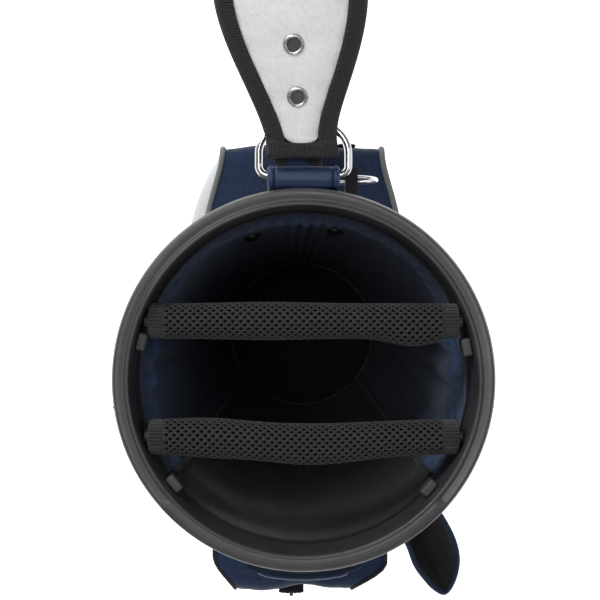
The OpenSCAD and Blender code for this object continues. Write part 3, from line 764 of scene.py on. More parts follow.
screw_heads = []
for head_x in (-32.6, 19.9):
    a = math.pi / 2 - math.asin(head_x / 91.5)
    centre = polar(0.0893, a, 0.785)
    inward = -Vector((math.cos(a), math.sin(a), 0))
    across = Vector((-math.sin(a), math.cos(a), 0))
    profile = [(0.0010, 0.00235), (0.0012, 0.0012), (0.0022, 0.0014), (0.0026, 0.0028),
               (0.0040, 0.0023), (0.0050, 0.0014), (0.0055, 0.0004), (0.0055, -0.0016)]

    def head_point(t, r, out):
        return centre + inward * out + across * (r * math.cos(t)) + Vector((0, 0, r * math.sin(t)))
    screw_heads.append(turned_piece("head", profile, head_point, 36, closed=False))
dress(join("inner_screws", screw_heads), M["screw"], "bag", "steel", ["tab_screws"])

floor_pad = softened("inner_floor_pad", "base_pad", 0.003)
dress(floor_pad, M["black"], "bag", "foam", ["base_pad"])

# ---------------------------------------------------------------- strap path, as the CAD has it
STRAP_RING_Z, LOW_RING_Z = [sum(corner[2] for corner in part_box(node)) / 2
                            for node in ("upper_ring", "lower_ring")]
UP = STRAP_RING_Z / MM
LOW = LOW_RING_Z / MM
STRAP_PATH = [
    [(122, UP + 9.2), (160, UP + 18), (262, 938), (312, 860)],
    [(312, 860), (345, 808), (348, 640), (285, 572)],
    [(285, 572), (250, 534), (190, LOW - 20), (122, LOW - 9.8)],
]


def strap_point(s):
    k = min(2, int(s))
    t = s - k
    p = [Vector(q) for q in STRAP_PATH[k]]
    spot = p[0] * (1 - t) ** 3 + p[1] * (3 * t * (1 - t) ** 2) + p[2] * (3 * t * t * (1 - t)) + p[3] * t ** 3
    way = (p[1] - p[0]) * (3 * (1 - t) ** 2) + (p[2] - p[1]) * (6 * t * (1 - t)) + (p[3] - p[2]) * (3 * t * t)
    way.normalize()
    return spot, way


def strap_width(s):
    return 39 + (82 - 39) * smooth_step((s - 0.06) / 0.42) * smooth_step((2.94 - s) / 0.9)


def strap_lean(s):
    return -15 * math.sin(math.radians(60 * s))


def on_strap(s, x, lift):
    """A point x mm across the strap and lift mm off its middle layer, in metres."""
    spot, way = strap_point(s)
    return Vector((x + strap_lean(s), spot.x - way.y * lift, spot.y + way.x * lift)) * MM


STRAP_STEPS = 360
STRAP_LENGTH = sum((strap_point((i + 1) * 3 / 400)[0] - strap_point(i * 3 / 400)[0]).length
                   for i in range(400)) * MM
BIND = 10.4
EYELETS = (0.21, 0.345)


def felt_lift(s, side):
    """Loft of the felt: full in the middle, pinched at the binding, puckered by the stitching."""
    full = 2.5 * (1 - abs(side) ** 3.2)
    pucker = 0.35 * math.sin(s * 95 + 2 * side) * abs(side) ** 2
    soft = 0.55 * noise.noise(Vector((s * 9, side * 1.6, 2)))
    eyelet = sum(0.8 * math.exp(-(((s - c) / 0.028) ** 2 + (side / 0.42) ** 2)) for c in EYELETS)
    return 1.0 + full + pucker + soft - eyelet * 1.6


def strap_pad():
    end = 0.055

    def point(u, v):
        s = end + (3 - 2 * end) * v
        side = 2 * u - 1
        half = strap_width(s) / 2 - BIND + 1.6
        x = side * half
        cap = min(v, 1 - v) * 3
        if cap < 0.06:
            bow = 0.052 * (1 - math.sqrt(max(0.0, 1 - side * side)))
            s += (bow if v < 0.5 else -bow) * (1 - cap / 0.06)
        return on_strap(s, x, felt_lift(s, side))
    return strip("strap_felt_face", 40, STRAP_STEPS, point, (0.06, STRAP_LENGTH), 0.0020)


def strap_cover():
    def point(u, v):
        s = 0.03 + 2.94 * v
        side = 2 * u - 1
        half = strap_width(s) / 2 - BIND + 2
        full = 1 - abs(side) ** 3
        return on_strap(s, side * half, -2.2 - 2.0 * full - 0.4 * noise.noise(Vector((s * 7, side * 2, 8))))
    return strip("strap_outer_cover", 30, STRAP_STEPS, point, (0.06, STRAP_LENGTH), 0.0012, 1)


# A folded tape, 10 mm on each face: (across from the edge inwards, lift).
BIND_SECTION = [
    (0.0, 0.2), (0.2, 1.9), (1.2, 3.0), (3.0, 3.7), (6.4, 3.9), (9.6, 3.7), (10.3, 3.2), (10.3, 2.4),
    (9.4, 2.4), (6.4, 2.6), (2.4, 2.2), (1.4, 1.0), (1.3, -0.2), (1.4, -1.6), (2.6, -2.8), (6.4, -3.3),
    (9.6, -3.2), (10.3, -3.3), (10.3, -4.1), (9.4, -4.4), (6.0, -4.5), (2.8, -4.2), (1.1, -3.4), (0.2, -2.2),
]


def strap_binding(side):
    count = len(BIND_SECTION)
    corners = [Vector(c) for c in BIND_SECTION]
    girth = sum((b - a).length for a, b in zip(corners, corners[1:] + corners[:1])) * MM

    def point(u, v):
        s = 3 * v
        across, lift = BIND_SECTION[int(round(u * count)) % count]
        ripple = 0.25 * noise.noise(Vector((s * 22, side * 5, across * 0.2)))
        wave = 0.5 * noise.noise(Vector((s * 4.5, side * 9, 1)))
        half = strap_width(s) / 2 + wave
        return on_strap(s, side * (half - across), lift * (0.92 + 0.1 * ripple) + ripple)
    piece = grid_piece("binding", count, STRAP_STEPS, point, (girth, STRAP_LENGTH))
    swap_uvs(piece)
    orient(weld(piece, 2e-6))
    edit_mesh(piece, lambda bm: bmesh.ops.holes_fill(
        bm, edges=[e for e in bm.edges if e.is_boundary], sides=0))
    return orient(piece)


def end_binding(at_start):
    """Black bound end across the strap, wrapped over both faces."""
    outline = [(0.062, 3.9), (0.050, 4.4), (0.012, 4.3), (0.002, 3.2), (0.000, 0.0),
               (0.002, -3.6), (0.012, -4.7), (0.050, -4.8), (0.060, -4.4)]

    def point(u, v):
        side = 2 * u - 1
        s, lift = along(outline, v)
        scoop = 0.030 * side * side if v < 0.25 or v > 0.8 else 0
        s = s + scoop * (1 - 4 * v if v < 0.25 else 1)
        shoulder = 1 - 0.15 * abs(side) ** 6
        if not at_start:
            s = 3 - s
        return on_strap(s, side * 19.3, lift * shoulder + 0.3)
    return strip("strap_end", 40, 32, point, (0.039, 0.03), 0.0009, 1)


felt = strap_pad()
dress(felt, M["felt"], "strap", "felt", ["strap_felt"])
cover = strap_cover()
dress(cover, M["navy"], "strap", "navy_fabric", ["strap_shell"])
edges = join("strap_edge_binding", [strap_binding(-1), strap_binding(1)])
dress(edges, M["grosgrain"], "strap", "webbing", ["strap_binding"])
ends = join("strap_bound_ends", [end_binding(True), end_binding(False)])
dress(ends, M["grosgrain"], "strap", "webbing")


def grommet(s):
    """A rolled metal eyelet, with a dark grey disc in its middle as painted shade for the hole through the
    strap.
    """
    profile = [(3.5, -2.4), (3.55, 0.2), (3.9, 0.85), (4.6, 1.1), (5.3, 0.75), (5.65, 0.1),
               (5.4, -0.1), (4.4, -0.3), (4.1, -2.4)]
    spot, way = strap_point(s)

    def place(a, r, h):
        up = r * math.sin(a)
        return Vector((strap_lean(s) + r * math.cos(a), spot.x + way.x * up - way.y * (2.9 + h),
                       spot.y + way.y * up + way.x * (2.9 + h))) * MM
    ring = turned_piece("grommet", profile, place, 64)
    # painted shade: a dark grey disc laid inside the ring stands in for the dark hole
    disc = [place(TAU * i / 40, 3.8, -0.1) for i in range(40)]
    hole_shade_disc = mesh_piece("hole_shade_disc", disc, [tuple(range(40))], flat=True)
    return ring, thicken(hole_shade_disc, 0.0004)


grommets, hole_shade_discs = zip(*[grommet(s) for s in EYELETS])
dress(join("strap_grommets", grommets), M["steel"], "strap", "steel", ["strap_eyelets"])
dress(join("grommet_hole_shade_discs", hole_shade_discs), M["hole_shade_disc"], "strap", "felt")


def one_stitch(verts, faces, uvs, a, b, normal, radius, gap=0.45):
    tangent = b - a
    reach = tangent.length
    if reach < 1e-6:
        return
    tangent.normalize()
    side = tangent.cross(normal).normalized()
    base = len(verts)
    for t, h in ((0.0, -0.4), (0.12, 0.75), (0.5, 1.0), (0.88, 0.75), (1.0, -0.4)):
        spot = a + tangent * (reach * (gap / 2 + t * (1 - gap)))
        for turn in range(6):
            angle = TAU * turn / 6
            verts.append(spot + normal * (radius * (h * 0.8 + 0.75 * math.sin(angle)))
                         + side * (radius * math.cos(angle)))
            uvs.append((t * reach, angle * radius))
    for low in range(base, base + 24, 6):
        for k in range(6):
            n = (k + 1) % 6
            faces.append((low + k, low + n, low + 6 + n, low + 6 + k))
    faces.append(tuple(base + k for k in reversed(range(6))))
    faces.append(tuple(base + 24 + k for k in range(6)))


def stitch_row(spots, length, radius=0.00028):
    """Short raised stitches along a list of (point, normal) pairs."""
    verts, faces, uvs = [], [], []
    walked = 0.0
    start = spots[0]
    fresh = False
    for here, there in zip(spots, spots[1:]):
        if fresh:
            start = here
            fresh = False
        walked += (there[0] - here[0]).length
        if walked >= length:
            one_stitch(verts, faces, uvs, start[0], there[0], start[1], radius)
            walked = 0.0
            fresh = True
    return orient(mesh_piece("row", verts, faces, uvs))


def strap_stitches():
    rows = []
    for side in (-1, 1):
        for lift, up in ((3.95, 1), (-4.55, -1)):
            spots = []
            for i in range(1400):
                s = 0.02 + 2.96 * i / 1399
                spot, way = strap_point(s)
                normal = Vector((0, -way.y, way.x)) * up
                spots.append((on_strap(s, side * (strap_width(s) / 2 - 8.6), lift), normal))
            rows.append(stitch_row(spots, 0.0032))
    return join("strap_stitching", rows)


dress(strap_stitches(), M["dark_thread"], "strap", "webbing")

# ---------------------------------------------------------------- rings and webbing loops
WIRE = 0.00215
SIDE_X = 0.027 - WIRE
OUTER_Y = 0.143 - WIRE
RING_CORNERS = [(SIDE_X - 0.005, 0.118, 0.005, -90), (SIDE_X - 0.016, OUTER_Y - 0.016, 0.016, 0),
                (0.016 - SIDE_X, OUTER_Y - 0.016, 0.016, 90), (0.005 - SIDE_X, 0.118, 0.005, 180)]
for ring_name, node, mid in (("upper_strap_ring", "upper_ring", STRAP_RING_Z),
                             ("lower_strap_ring", "lower_ring", LOW_RING_Z)):
    turns = [(x, y, r, math.radians(start + 5 * i)) for x, y, r, start in RING_CORNERS for i in range(19)]
    path = [(x + r * math.cos(a), y + r * math.sin(a), mid) for x, y, r, a in turns]
    ring = tube_piece(ring_name, path, WIRE - 0.00002, 28, closed=True)
    dress(orient(ring), M["chrome"], "strap", "chrome", [node])


def ring_loop(mid):
    """Flat webbing round a ring's outer bar, its two ends running back to the strap."""
    outline = [(0.159, mid + 0.0034), (0.141, mid + 0.0035)]
    for i in range(13):
        a = math.radians(90 + 15 * i)
        outline.append((0.1358 + 0.0030 * math.cos(a), mid + 0.0034 * math.sin(a)))
    outline += [(0.141, mid - 0.0035), (0.159, mid - 0.0034)]
    half = 0.017
    loop = grid_piece("loop", 24, 6 * len(outline),
                      lambda u, v: Vector(((2 * u - 1) * half, *along(outline, v))),
                      (2 * half, sum(steps_of(outline))))
    swap_uvs(loop)
    return orient(thicken(loop, 0.0015, 0))


dress(join("ring_webbing_loops", [ring_loop(STRAP_RING_Z), ring_loop(LOW_RING_Z)]), M["webbing"], "strap",
      "webbing", ["strap_loops"])

buckle = softened("strap_slider_buckle", "strap_buckle", 0.0009)
dress(buckle, M["base"], "strap", "base_plastic", ["strap_buckle"])

# ---------------------------------------------------------------- leather tabs
TAB_HALF = 0.0195
RING_Y = 0.113


def tab_strip(name, outline, half, thick):
    """A leather strip bent along an outline in YZ; its long edges are turned down and sewn."""
    steps = steps_of(outline)
    total = sum(steps)

    def place(v):
        left = v * total
        for i, step in enumerate(steps):
            if left <= step or i == len(steps) - 1:
                break
            left -= step
        a, b = Vector(outline[i]), Vector(outline[i + 1])
        way = (b - a).normalized()
        return a + (b - a) * (left / max(1e-9, step)), Vector((way.y, -way.x))

    def point(u, v):
        side = 2 * u - 1
        p, n = place(v)
        edge = abs(side)
        lift = 0.0004 * bump_at(edge, 0.93, 0.05) - 0.0011 * bump_at(edge, 0.83, 0.035)
        lift -= 0.0012 * smooth_step((edge - 0.95) / 0.05)
        lift += 0.0002 * noise.noise(Vector((side * 3, v * total * 60, 4)))
        return Vector((side * half, p.x - n.x * lift, p.y - n.y * lift))
    return thicken(grid_piece(name, 72, 90, point, (2 * half, total)), thick, 0)


def fold_outline(mid, top=4.3, low=-4.2):
    """Side view of the fold: over the top, round the ring's bar and back underneath."""
    pts = [(RING_Y - 0.003, mid + top * MM)]
    for i in range(13):
        a = math.radians(90 - 15 * i)
        pts.append((RING_Y + (top - 0.25) * MM * math.cos(a), mid + top * MM * math.sin(a)))
    return pts + [(RING_Y - 0.003, mid + low * MM)]


upper_out = [(0.1062, STRAP_RING_Z + 0.0005), (0.1066, STRAP_RING_Z + 0.0030)] + fold_outline(STRAP_RING_Z)
upper_out += [(0.1085, STRAP_RING_Z - 0.007), (0.1068, STRAP_RING_Z - 0.012), (0.1064, 0.836),
              (0.1062, 0.828)]
upper_fold = tab_strip("upper_tab_fold", upper_out, TAB_HALF, 0.0016)
lower_out = [(0.0985, 0.531), (0.0988, 0.517), (0.1010, LOW_RING_Z + 0.0045)]
lower_out += fold_outline(LOW_RING_Z)
lower_out += [(0.1020, LOW_RING_Z - 0.0050), (0.0988, LOW_RING_Z - 0.010), (0.0985, 0.483)]
lower_fold = tab_strip("lower_tab_fold", lower_out, TAB_HALF, 0.0016)


def patch(name, z0, z1, half, r):
    """A leather patch sewn flat to the shell, its corners rounded."""
    def point(u, v):
        side = 2 * u - 1
        down = 2 * v - 1
        corner = 1 - 0.10 * smooth_step((abs(side) - 0.8) / 0.2) * smooth_step((abs(down) - 0.6) / 0.4)
        x = side * half * corner
        z = (z0 + z1) / 2 + down * (z1 - z0) / 2 * corner
        edge = max(abs(side) ** 12, abs(down) ** 12)
        seam = 0.0004 * (bump_at(abs(side), 0.9, 0.03) + bump_at(abs(down), 0.9, 0.04))
        a = math.pi / 2 - x / r
        return polar(r + 0.0011 * (1 - edge) - seam, a, z)
    return strip(name, 96, 64, point, (2 * half, z1 - z0), 0.0012)


upper_patch = patch("upper_patch", 0.773, 0.8345, 0.0425, SHELL_R + 0.0004)
upper_tab = join("upper_leather_tab", [orient(upper_fold), upper_patch])
dress(upper_tab, M["leather"], None, "leather", ["upper_tab"])
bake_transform(upper_tab, "bag", "strap", (0, 0.1066, STRAP_RING_Z), (0, RING_Y, STRAP_RING_Z))
dress(orient(lower_fold), M["leather"], None, "leather", ["lower_tab"])
lower_fold.name = "lower_leather_tab"
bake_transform(lower_fold, "bag", "strap", (0, 0.1010, LOW_RING_Z), (0, RING_Y, LOW_RING_Z))


def tab_stitches(outline):
    rows = []
    for side in (-1, 1):
        spots = []
        for a, b in zip(outline, outline[1:]):
            a, b = Vector(a), Vector(b)
            way = (b - a).normalized()
            normal = Vector((0, -way.y, way.x))
            steps = max(2, int((b - a).length / 0.0004))
            for k in range(steps):
                p = a + (b - a) * (k / steps)
                spots.append((Vector((side * 0.815 * TAB_HALF, p.x, p.y)) + normal * 0.0004, normal))
        rows.append(stitch_row(spots, 0.0028, 0.00025))
    return rows


upper_thread = join("upper_tab_stitches", tab_stitches(upper_out[2:]))
dress(upper_thread, M["thread"], None, "leather")
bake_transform(upper_thread, "bag", "strap", (0, 0.1066, STRAP_RING_Z), (0, RING_Y, STRAP_RING_Z))

# ---------------------------------------------------------------- sewn pockets
def pocket_path(d0, d1, z0, z1, r, step=4.0):
    """Side view of a pocket, out over the top, down the face and back underneath, in mm."""
    corners = [Vector(c) for c in ((d0, z1), (d1, z1), (d1, z0), (d0, z0))]
    raw = [corners[0]]
    for back, c, ahead in zip(corners, corners[1:], corners[2:]):
        a = c + (back - c).normalized() * r
        b = c + (ahead - c).normalized() * r
        for t in (k / 8 for k in range(9)):
            raw.append(a * (1 - t) ** 2 + c * (2 * t * (1 - t)) + b * t * t)
    raw.append(corners[3])
    path = []
    for a, b in zip(raw, raw[1:]):
        count = max(1, int((b - a).length / step))
        path += [a + (b - a) * (k / count) for k in range(count)]
    return path + [raw[-1]]


def path_normals(path):
    ways = [(b - a).normalized() for a, b in zip(path[:1] + path, path[1:] + path[-1:])]
    return [Vector((-way.y, way.x)) for way in ways]


def seated(x, d, d0, d1):
    """Stretches a pocket's depth so that it starts on the shell at any x."""
    root = math.sqrt(max(0.0, 97.1 ** 2 - x * x))
    return root + (d - d0) * (d1 - root) / (d1 - d0)


def wrap_panel(name, path, left, right, sign, bulge, nu=72):
    normals = path_normals(path)
    total = 4.0 * len(path) * MM

    def point(u, v):
        k = int(round(v * (len(path) - 1)))
        d, z = path[k]
        n = normals[k]
        x = left(d) + (right(d) - left(d)) * u
        off = bulge(u, d, z) * smooth_step((d - path[0].x) / 12)
        depth = seated(x, d, path[0].x, path[len(path) // 2].x)
        return Vector((x, sign * (depth + n.x * off), z + n.y * off)) * MM
    return thicken(orient(grid_piece(name, nu, len(path) - 1, point, (0.15, total))), 0.0013)


def side_panel(path, edge, out, sign, bulge):
    """Fills a pocket's side from the shell (r = 0) to its piped edge (r = 1)."""
    z_low, z_high = path[-1].y, path[0].y
    count = len(path)

    def point(u, v):
        target = path[int(round(v * (count - 1)))]
        spine = Vector((path[0].x, z_high + (z_low - z_high) * (0.01 + 0.98 * v)))
        spot = spine + (target - spine) * u
        base = edge(spot.x)
        x = base + out * bulge(u, v, spot.x, spot.y)
        return Vector((x, sign * seated(base, spot.x, path[0].x, path[count // 2].x), spot.y)) * MM
    return thicken(orient(grid_piece("side", 34, count - 1, point, (0.12, 0.5))), 0.0012)


def cloth_noise(a, b, seed, amount):
    slow = noise.noise(Vector((a * 0.016, b * 0.012, seed)))
    creased = abs(noise.noise(Vector((a * 0.034, b * 0.019, seed + 9)))) - 0.25
    return amount * (slow + 0.7 * creased)


# Front pocket: navy wrap, white side panels, grey piping along the seams
FRONT_LOW, FRONT_HIGH = 111.5, 479.0
front_path = pocket_path(56, 181, FRONT_LOW, FRONT_HIGH, 16)


def front_edge(d):
    return 86.5 - 15.5 * smooth_step((d - 104) / 72)


def front_bulge(u, d, z):
    side = 2 * u - 1
    inner = 1 - abs(side) ** 2.6
    down = (z - FRONT_LOW) / (FRONT_HIGH - FRONT_LOW)
    face = smooth_step((d - 160) / 20)
    tall = 0.35 + 0.65 * math.sin(math.pi * min(1, max(0, down))) ** 0.7
    swell = face * (4.0 + 4.5 * bump_at(u, 0.26, 0.2)) * inner * tall
    top = (1 - face) * inner * (2.6 if z > 300 else -1.0)
    crease = inner ** 0.5 * cloth_noise(u * 150, z + d, 1, 2.6)
    pucker = 0.5 * abs(side) ** 6 * math.sin((z + d) * 0.55) * (1 - abs(side) ** 30)
    return swell + top + crease + pucker - 0.6 * bump_at(abs(side), 1.0, 0.05)


wrap = wrap_panel("front_pocket_cloth", front_path, lambda d: -front_edge(d), front_edge, 1, front_bulge)
dress(wrap, M["navy"], "bag", "navy_fabric", ["front_pocket"])


def front_side_bulge(amount, seed):
    def bulge(u, v, d, z):
        t = (d - 56) / 125
        swell = amount * (1 - u ** 14) * math.sin(math.pi * max(0.0, min(1.0, 0.12 + 0.86 * t))) ** 0.55
        high = 0.75 + 0.25 * smooth_step((z - 250) / 180)
        dents = (1 - u ** 4) * cloth_noise(d * 1.6, z, seed, 3.2)
        pucker = 0.45 * u ** 8 * math.sin((z + d) * 0.6) * (1 - u ** 40)
        return swell * high + dents + pucker
    return bulge


gussets = join("front_pocket_sides", [
    side_panel(front_path, lambda d: -front_edge(d), -1, 1, front_side_bulge(16.0, 4)),
    side_panel(front_path, front_edge, 1, 1, front_side_bulge(1.5, 6)),
])
dress(gussets, M["white"], "bag", "white_fabric", ["front_gussets"])


def edge_cord(path, edge, sign, radius, out):
    deep = path[len(path) // 2].x
    points = [Vector((edge(p.x) + out * 0.8, sign * seated(edge(p.x), p.x, path[0].x, deep), p.y)) * MM
              for p in path]
    return tube_piece("cord", points, radius * MM, 10)


piping = join("front_pocket_piping", [
    edge_cord(front_path, lambda d: -front_edge(d), 1, 2.5, -1),
    edge_cord(front_path, front_edge, 1, 2.5, 1),
])
dress(orient(piping), M["piping"], "bag", "piping", ["front_piping"])

# Rear pocket: slouching top with two soft corners
rear_path = pocket_path(72, 153.5, 501.5, 729.0, 13)


def rear_left(d):
    return -60 + 14 * smooth_step((d - 128) / 26)


def rear_right(d):
    return 41.5 + 14.5 * smooth_step((d - 62) / 62) - 23 * smooth_step((d - 132) / 22)


def rear_bulge(u, d, z):
    side = 2 * u - 1
    inner = 1 - abs(side) ** 3
    face = smooth_step((d - 138) / 15)
    down = max(0.0, min(1.0, (z - 501.5) / 227.5))
    slouch = 3.6 * bump_at(u, 0.55, 0.22) * smooth_step((z - 640) / 80)
    swell = face * (2.6 * math.sin(math.pi * down) * inner - slouch)
    top = (1 - face) * (-3.0 * bump_at(u, 0.5, 0.3) if z > 620 else -0.5) * inner
    off = swell + top - 0.6 * bump_at(abs(side), 1.0, 0.06)
    off += inner ** 0.6 * cloth_noise(u * 110, z + d, 12, 2.2)
    # flat under the zip, so that its slider clears the cloth
    return off - face * bump_at(u, 0.48, 0.14) * max(0.0, off - 0.3)


def rear_side_bulge(seed):
    return lambda u, v, d, z: (1 - u ** 4) * (1.0 + cloth_noise(d * 1.5, z, seed, 1.6))


rear = join("rear_pocket_cloth", [
    wrap_panel("panel", rear_path, rear_left, rear_right, -1, rear_bulge, 60),
    side_panel(rear_path, rear_left, -1, -1, rear_side_bulge(3)),
    side_panel(rear_path, rear_right, 1, -1, rear_side_bulge(5)),
])
dress(rear, M["navy"], "bag", "navy_fabric", ["rear_pocket"])
rear_cords = join("rear_pocket_seams", [
    edge_cord(rear_path, rear_left, -1, 1.1, 0),
    edge_cord(rear_path, rear_right, -1, 1.1, 0),
])
dress(orient(rear_cords), M["grosgrain"], "bag", "navy_fabric")

# ---------------------------------------------------------------- umbrella sleeve
SLEEVE_AXIS = math.radians(-55)
SLEEVE_LOW, SLEEVE_HIGH = 331.0, 798.0
MOUTH = [(96.5, 16.5), (112, 18.0), (124, 18.2), (138, 16.2), (149.5, 11.2), (158, 2.5), (161.6, -6.4),
         (156, -10.2), (147, -11.6), (137, -11.6), (125, -8.6), (112, -7.4), (96.5, -7.2)]


def mouth_point(u):
    k = u * (len(MOUTH) - 1)
    i = min(int(k), len(MOUTH) - 2)
    t = k - i
    p0 = Vector(MOUTH[max(i - 1, 0)])
    p1 = Vector(MOUTH[i])
    p2 = Vector(MOUTH[i + 1])
    p3 = Vector(MOUTH[min(i + 2, len(MOUTH) - 1)])
    return 0.5 * ((2 * p1) + (p2 - p0) * t + (2 * p0 - 5 * p1 + 4 * p2 - p3) * t * t
                  + (3 * p1 - p0 - 3 * p2 + p3) * t ** 3)


def sleeve_reach(z):
    stops = [(330, 21.0), (610, 46.0), (760, 65.0), (800, 65.0)]
    for (za, a), (zb, b) in zip(stops, stops[1:]):
        if z <= zb:
            return (a + (b - a) * (z - za) / (zb - za)) / 65.0
    return 1.0


def on_sleeve(u, z, inset=0.0):
    p = mouth_point(u)
    k = sleeve_reach(z)
    middle = 4.5
    flat = 0.82 + 0.18 * smooth_step((z - 600) / 180)
    r = 96.5 + (p.x - 96.5) * k
    t = middle + (p.y - middle) * flat
    crease = cloth_noise(u * 120, z, 21, 1.5) * math.sin(math.pi * u) * smooth_step((SLEEVE_HIGH - z) / 30)
    r -= abs(crease) * 0.8 + inset
    t += crease * 0.7
    ca, sa = math.cos(SLEEVE_AXIS), math.sin(SLEEVE_AXIS)
    return Vector((r * ca - t * sa, r * sa + t * ca, z)) * MM


sleeve = grid_piece("sleeve", 96, 150, lambda u, v: on_sleeve(u, SLEEVE_LOW + (SLEEVE_HIGH - SLEEVE_LOW) * v),
                    (0.14, 0.467))
thicken(orient(sleeve), 0.0012)
bottom = grid_piece("sleeve_bottom", 40, 10, lambda u, v: on_sleeve(0.5 * u, SLEEVE_LOW + 0.6).lerp(
    on_sleeve(1 - 0.5 * u, SLEEVE_LOW + 0.6), v), (0.04, 0.03))
thicken(bottom, 0.0012, 0)
sleeve = join("umbrella_sleeve_cloth", [sleeve, orient(bottom)])
dress(sleeve, M["navy"], "bag", "navy_fabric", ["umbrella_sleeve"])
sleeve.data.materials.append(M["black"])
for face in sleeve.data.polygons:
    c = face.center
    reach = (96.5 + 30 * sleeve_reach(c.z / MM)) * MM
    core = Vector((reach * math.cos(SLEEVE_AXIS) - 0.0045 * math.sin(SLEEVE_AXIS),
                   reach * math.sin(SLEEVE_AXIS) + 0.0045 * math.cos(SLEEVE_AXIS), c.z))
    if face.normal.dot(core - c) > 0:
        face.material_index = 1
rim = tube_piece("rim", [on_sleeve(i / 90, SLEEVE_HIGH - 0.2, 0.3) for i in range(91)], 0.0015, 12)
rim_low = tube_piece("rim", [on_sleeve(i / 90, SLEEVE_HIGH - 9, -0.35) for i in range(91)], 0.0004, 6)
rim = join("umbrella_sleeve_rim", [orient(rim), orient(rim_low)])
dress(rim, M["navy"], "bag", "navy_fabric", ["sleeve_rim"])

# ---------------------------------------------------------------- body shell
SHELL_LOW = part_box("shell")[0][2]
SHELL_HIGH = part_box("shell")[1][2]
SEAM_ANGLES = [math.radians(d) for d in (33, 147, 213, 327)]


def shell_point(u, v):
    a = TAU * u
    z = SHELL_LOW + (SHELL_HIGH - SHELL_LOW) * v
    slack = math.sin(math.pi * v) ** 0.4
    dent = 0.0006 * noise.noise(Vector((math.cos(a) * 3, math.sin(a) * 3, z * 7)))
    crease = 0.0006 * abs(noise.noise(Vector((math.cos(a) * 7, math.sin(a) * 7, z * 11))))
    seam = sum(0.0005 * math.exp(-((a - s) / 0.012) ** 2) for s in SEAM_ANGLES)
    return polar(SHELL_R - 0.0003 + slack * (min(0.0, dent) - crease) - seam, a, z)


shell = grid_piece("body_shell", 360, 220, shell_point, (TAU * 0.097, SHELL_HIGH - SHELL_LOW))
thicken(orient(weld(shell, 1e-6)), 0.0010)
dress(shell, M["shell"], "bag", "navy_fabric", ["shell"])
shell_threads = []
for seam in SEAM_ANGLES:
    for shift in (-0.03, 0.03):
        spots = []
        for i in range(900):
            z = 0.075 + 0.755 * i / 899
            a = seam + shift
            n = Vector((math.cos(a), math.sin(a), 0))
            spots.append((shell_point(a / TAU, (z - SHELL_LOW) / (SHELL_HIGH - SHELL_LOW)) + n * 0.0001, n))
        shell_threads.append(stitch_row(spots, 0.0042, 0.0003))
dress(join("shell_seam_stitches", shell_threads), M["thread"], "bag", "navy_fabric")

# ---------------------------------------------------------------- zips, sliders and pulls
def zip_piece(name, x, sign, face, z0, z1):
    """Two rows of coil teeth between woven tapes, on a pocket's face."""
    parts = []

    def tape_point(u, v):
        side = 2 * u - 1
        lift = 0.9 - 0.5 * bump_at(side, 0, 0.12) + 0.25 * bump_at(abs(side), 0.42, 0.1)
        z = z0 + (z1 - z0) * v
        return Vector((x + side * 8.5, sign * (face + lift + 0.15 * math.sin(z * 0.15)), z)) * MM
    tape = grid_piece("tape", 28, 90, tape_point, (0.017, (z1 - z0) * MM))
    swap_uvs(tape)
    thicken(tape, 0.0007, 0)
    tape.data.materials.append(M["webbing"])
    parts.append(orient(tape))
    verts = []
    faces = []
    z = z0 + 3
    flip = 1
    while z < z1 - 3:
        cx = x + flip * 0.9
        base = len(verts)
        for dx, dz, dy in ((-1.3, -0.42, 0), (1.3, -0.42, 0), (1.3, 0.42, 0), (-1.3, 0.42, 0),
                           (-1.1, -0.22, 0.9), (1.1, -0.22, 0.9), (1.1, 0.22, 0.9), (-1.1, 0.22, 0.9)):
            verts.append(Vector((cx + dx, sign * (face + 0.9 + dy), z + dz)) * MM)
        for f in ((0, 3, 2, 1), (4, 5, 6, 7), (0, 1, 5, 4), (1, 2, 6, 5), (2, 3, 7, 6), (3, 0, 4, 7)):
            faces.append(tuple(base + k for k in f))
        z += 1.15
        flip = -flip
    teeth = mesh_piece("teeth", verts, faces, flat=True)
    teeth.data.materials.append(M["screw"])
    parts.append(orient(teeth))
    for end in (z0 + 1, z1 - 1):
        spots = [Vector((x + t * 7, sign * (face + 1.3), end)) * MM for t in (-1, -0.4, 0.4, 1)]
        bar = tube_piece("bar", spots, 0.0008, 10)
        bar.data.materials.append(M["webbing"])
        parts.append(orient(bar))
    return join(name, parts)


front_zip = zip_piece("front_pocket_zip", 40, 1, 183.4, 140, 466)
dress(front_zip, None, "bag", "webbing", ["front_zip"])
rear_zip = zip_piece("rear_pocket_zip", -8, -1, 155.2, 516, 718)
dress(rear_zip, None, "bag", "webbing", ["rear_zip"])
for node, body, title in (("front_zip_slider", "front_slider", "front_zip_slider_body"),
                          ("front_zip_pull", "front_pull", "front_zip_pull_tag"),
                          ("rear_zip_slider", "rear_slider", "rear_zip_slider_body"),
                          ("rear_zip_pull", "rear_pull", "rear_zip_pull_tag")):
    dress(softened(title, node, 0.0004, 2), M["nickel"], body, "steel", [node])


# ---------------------------------------------------------------- keeper, towel ring, handle
dress(softened("towel_keeper_loop", "towel_keeper", 0.0007), M["webbing"], "bag", "webbing", ["towel_keeper"])
towel_mid = sum((Vector(corner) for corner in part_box("towel_ring")), Vector()) / 2
towel_points = [towel_mid + Vector((0.015 * math.cos(TAU * i / 72), 0, 0.015 * math.sin(TAU * i / 72)))
                for i in range(72)]
towel = tube_piece("towel_ring_wire", towel_points, 0.00128, 18, closed=True, up=Vector((0, 1, 0)))
dress(orient(towel), M["chrome"], "towel", "chrome", ["towel_ring"])


def handle_reach(side, share=1.0):
    """Radius of the handle in mm: standing off the shell between its sewn ends."""
    return 99.2 + (126.4 - 99.2) * smooth_step((1 - abs(side) * share) / 0.42)


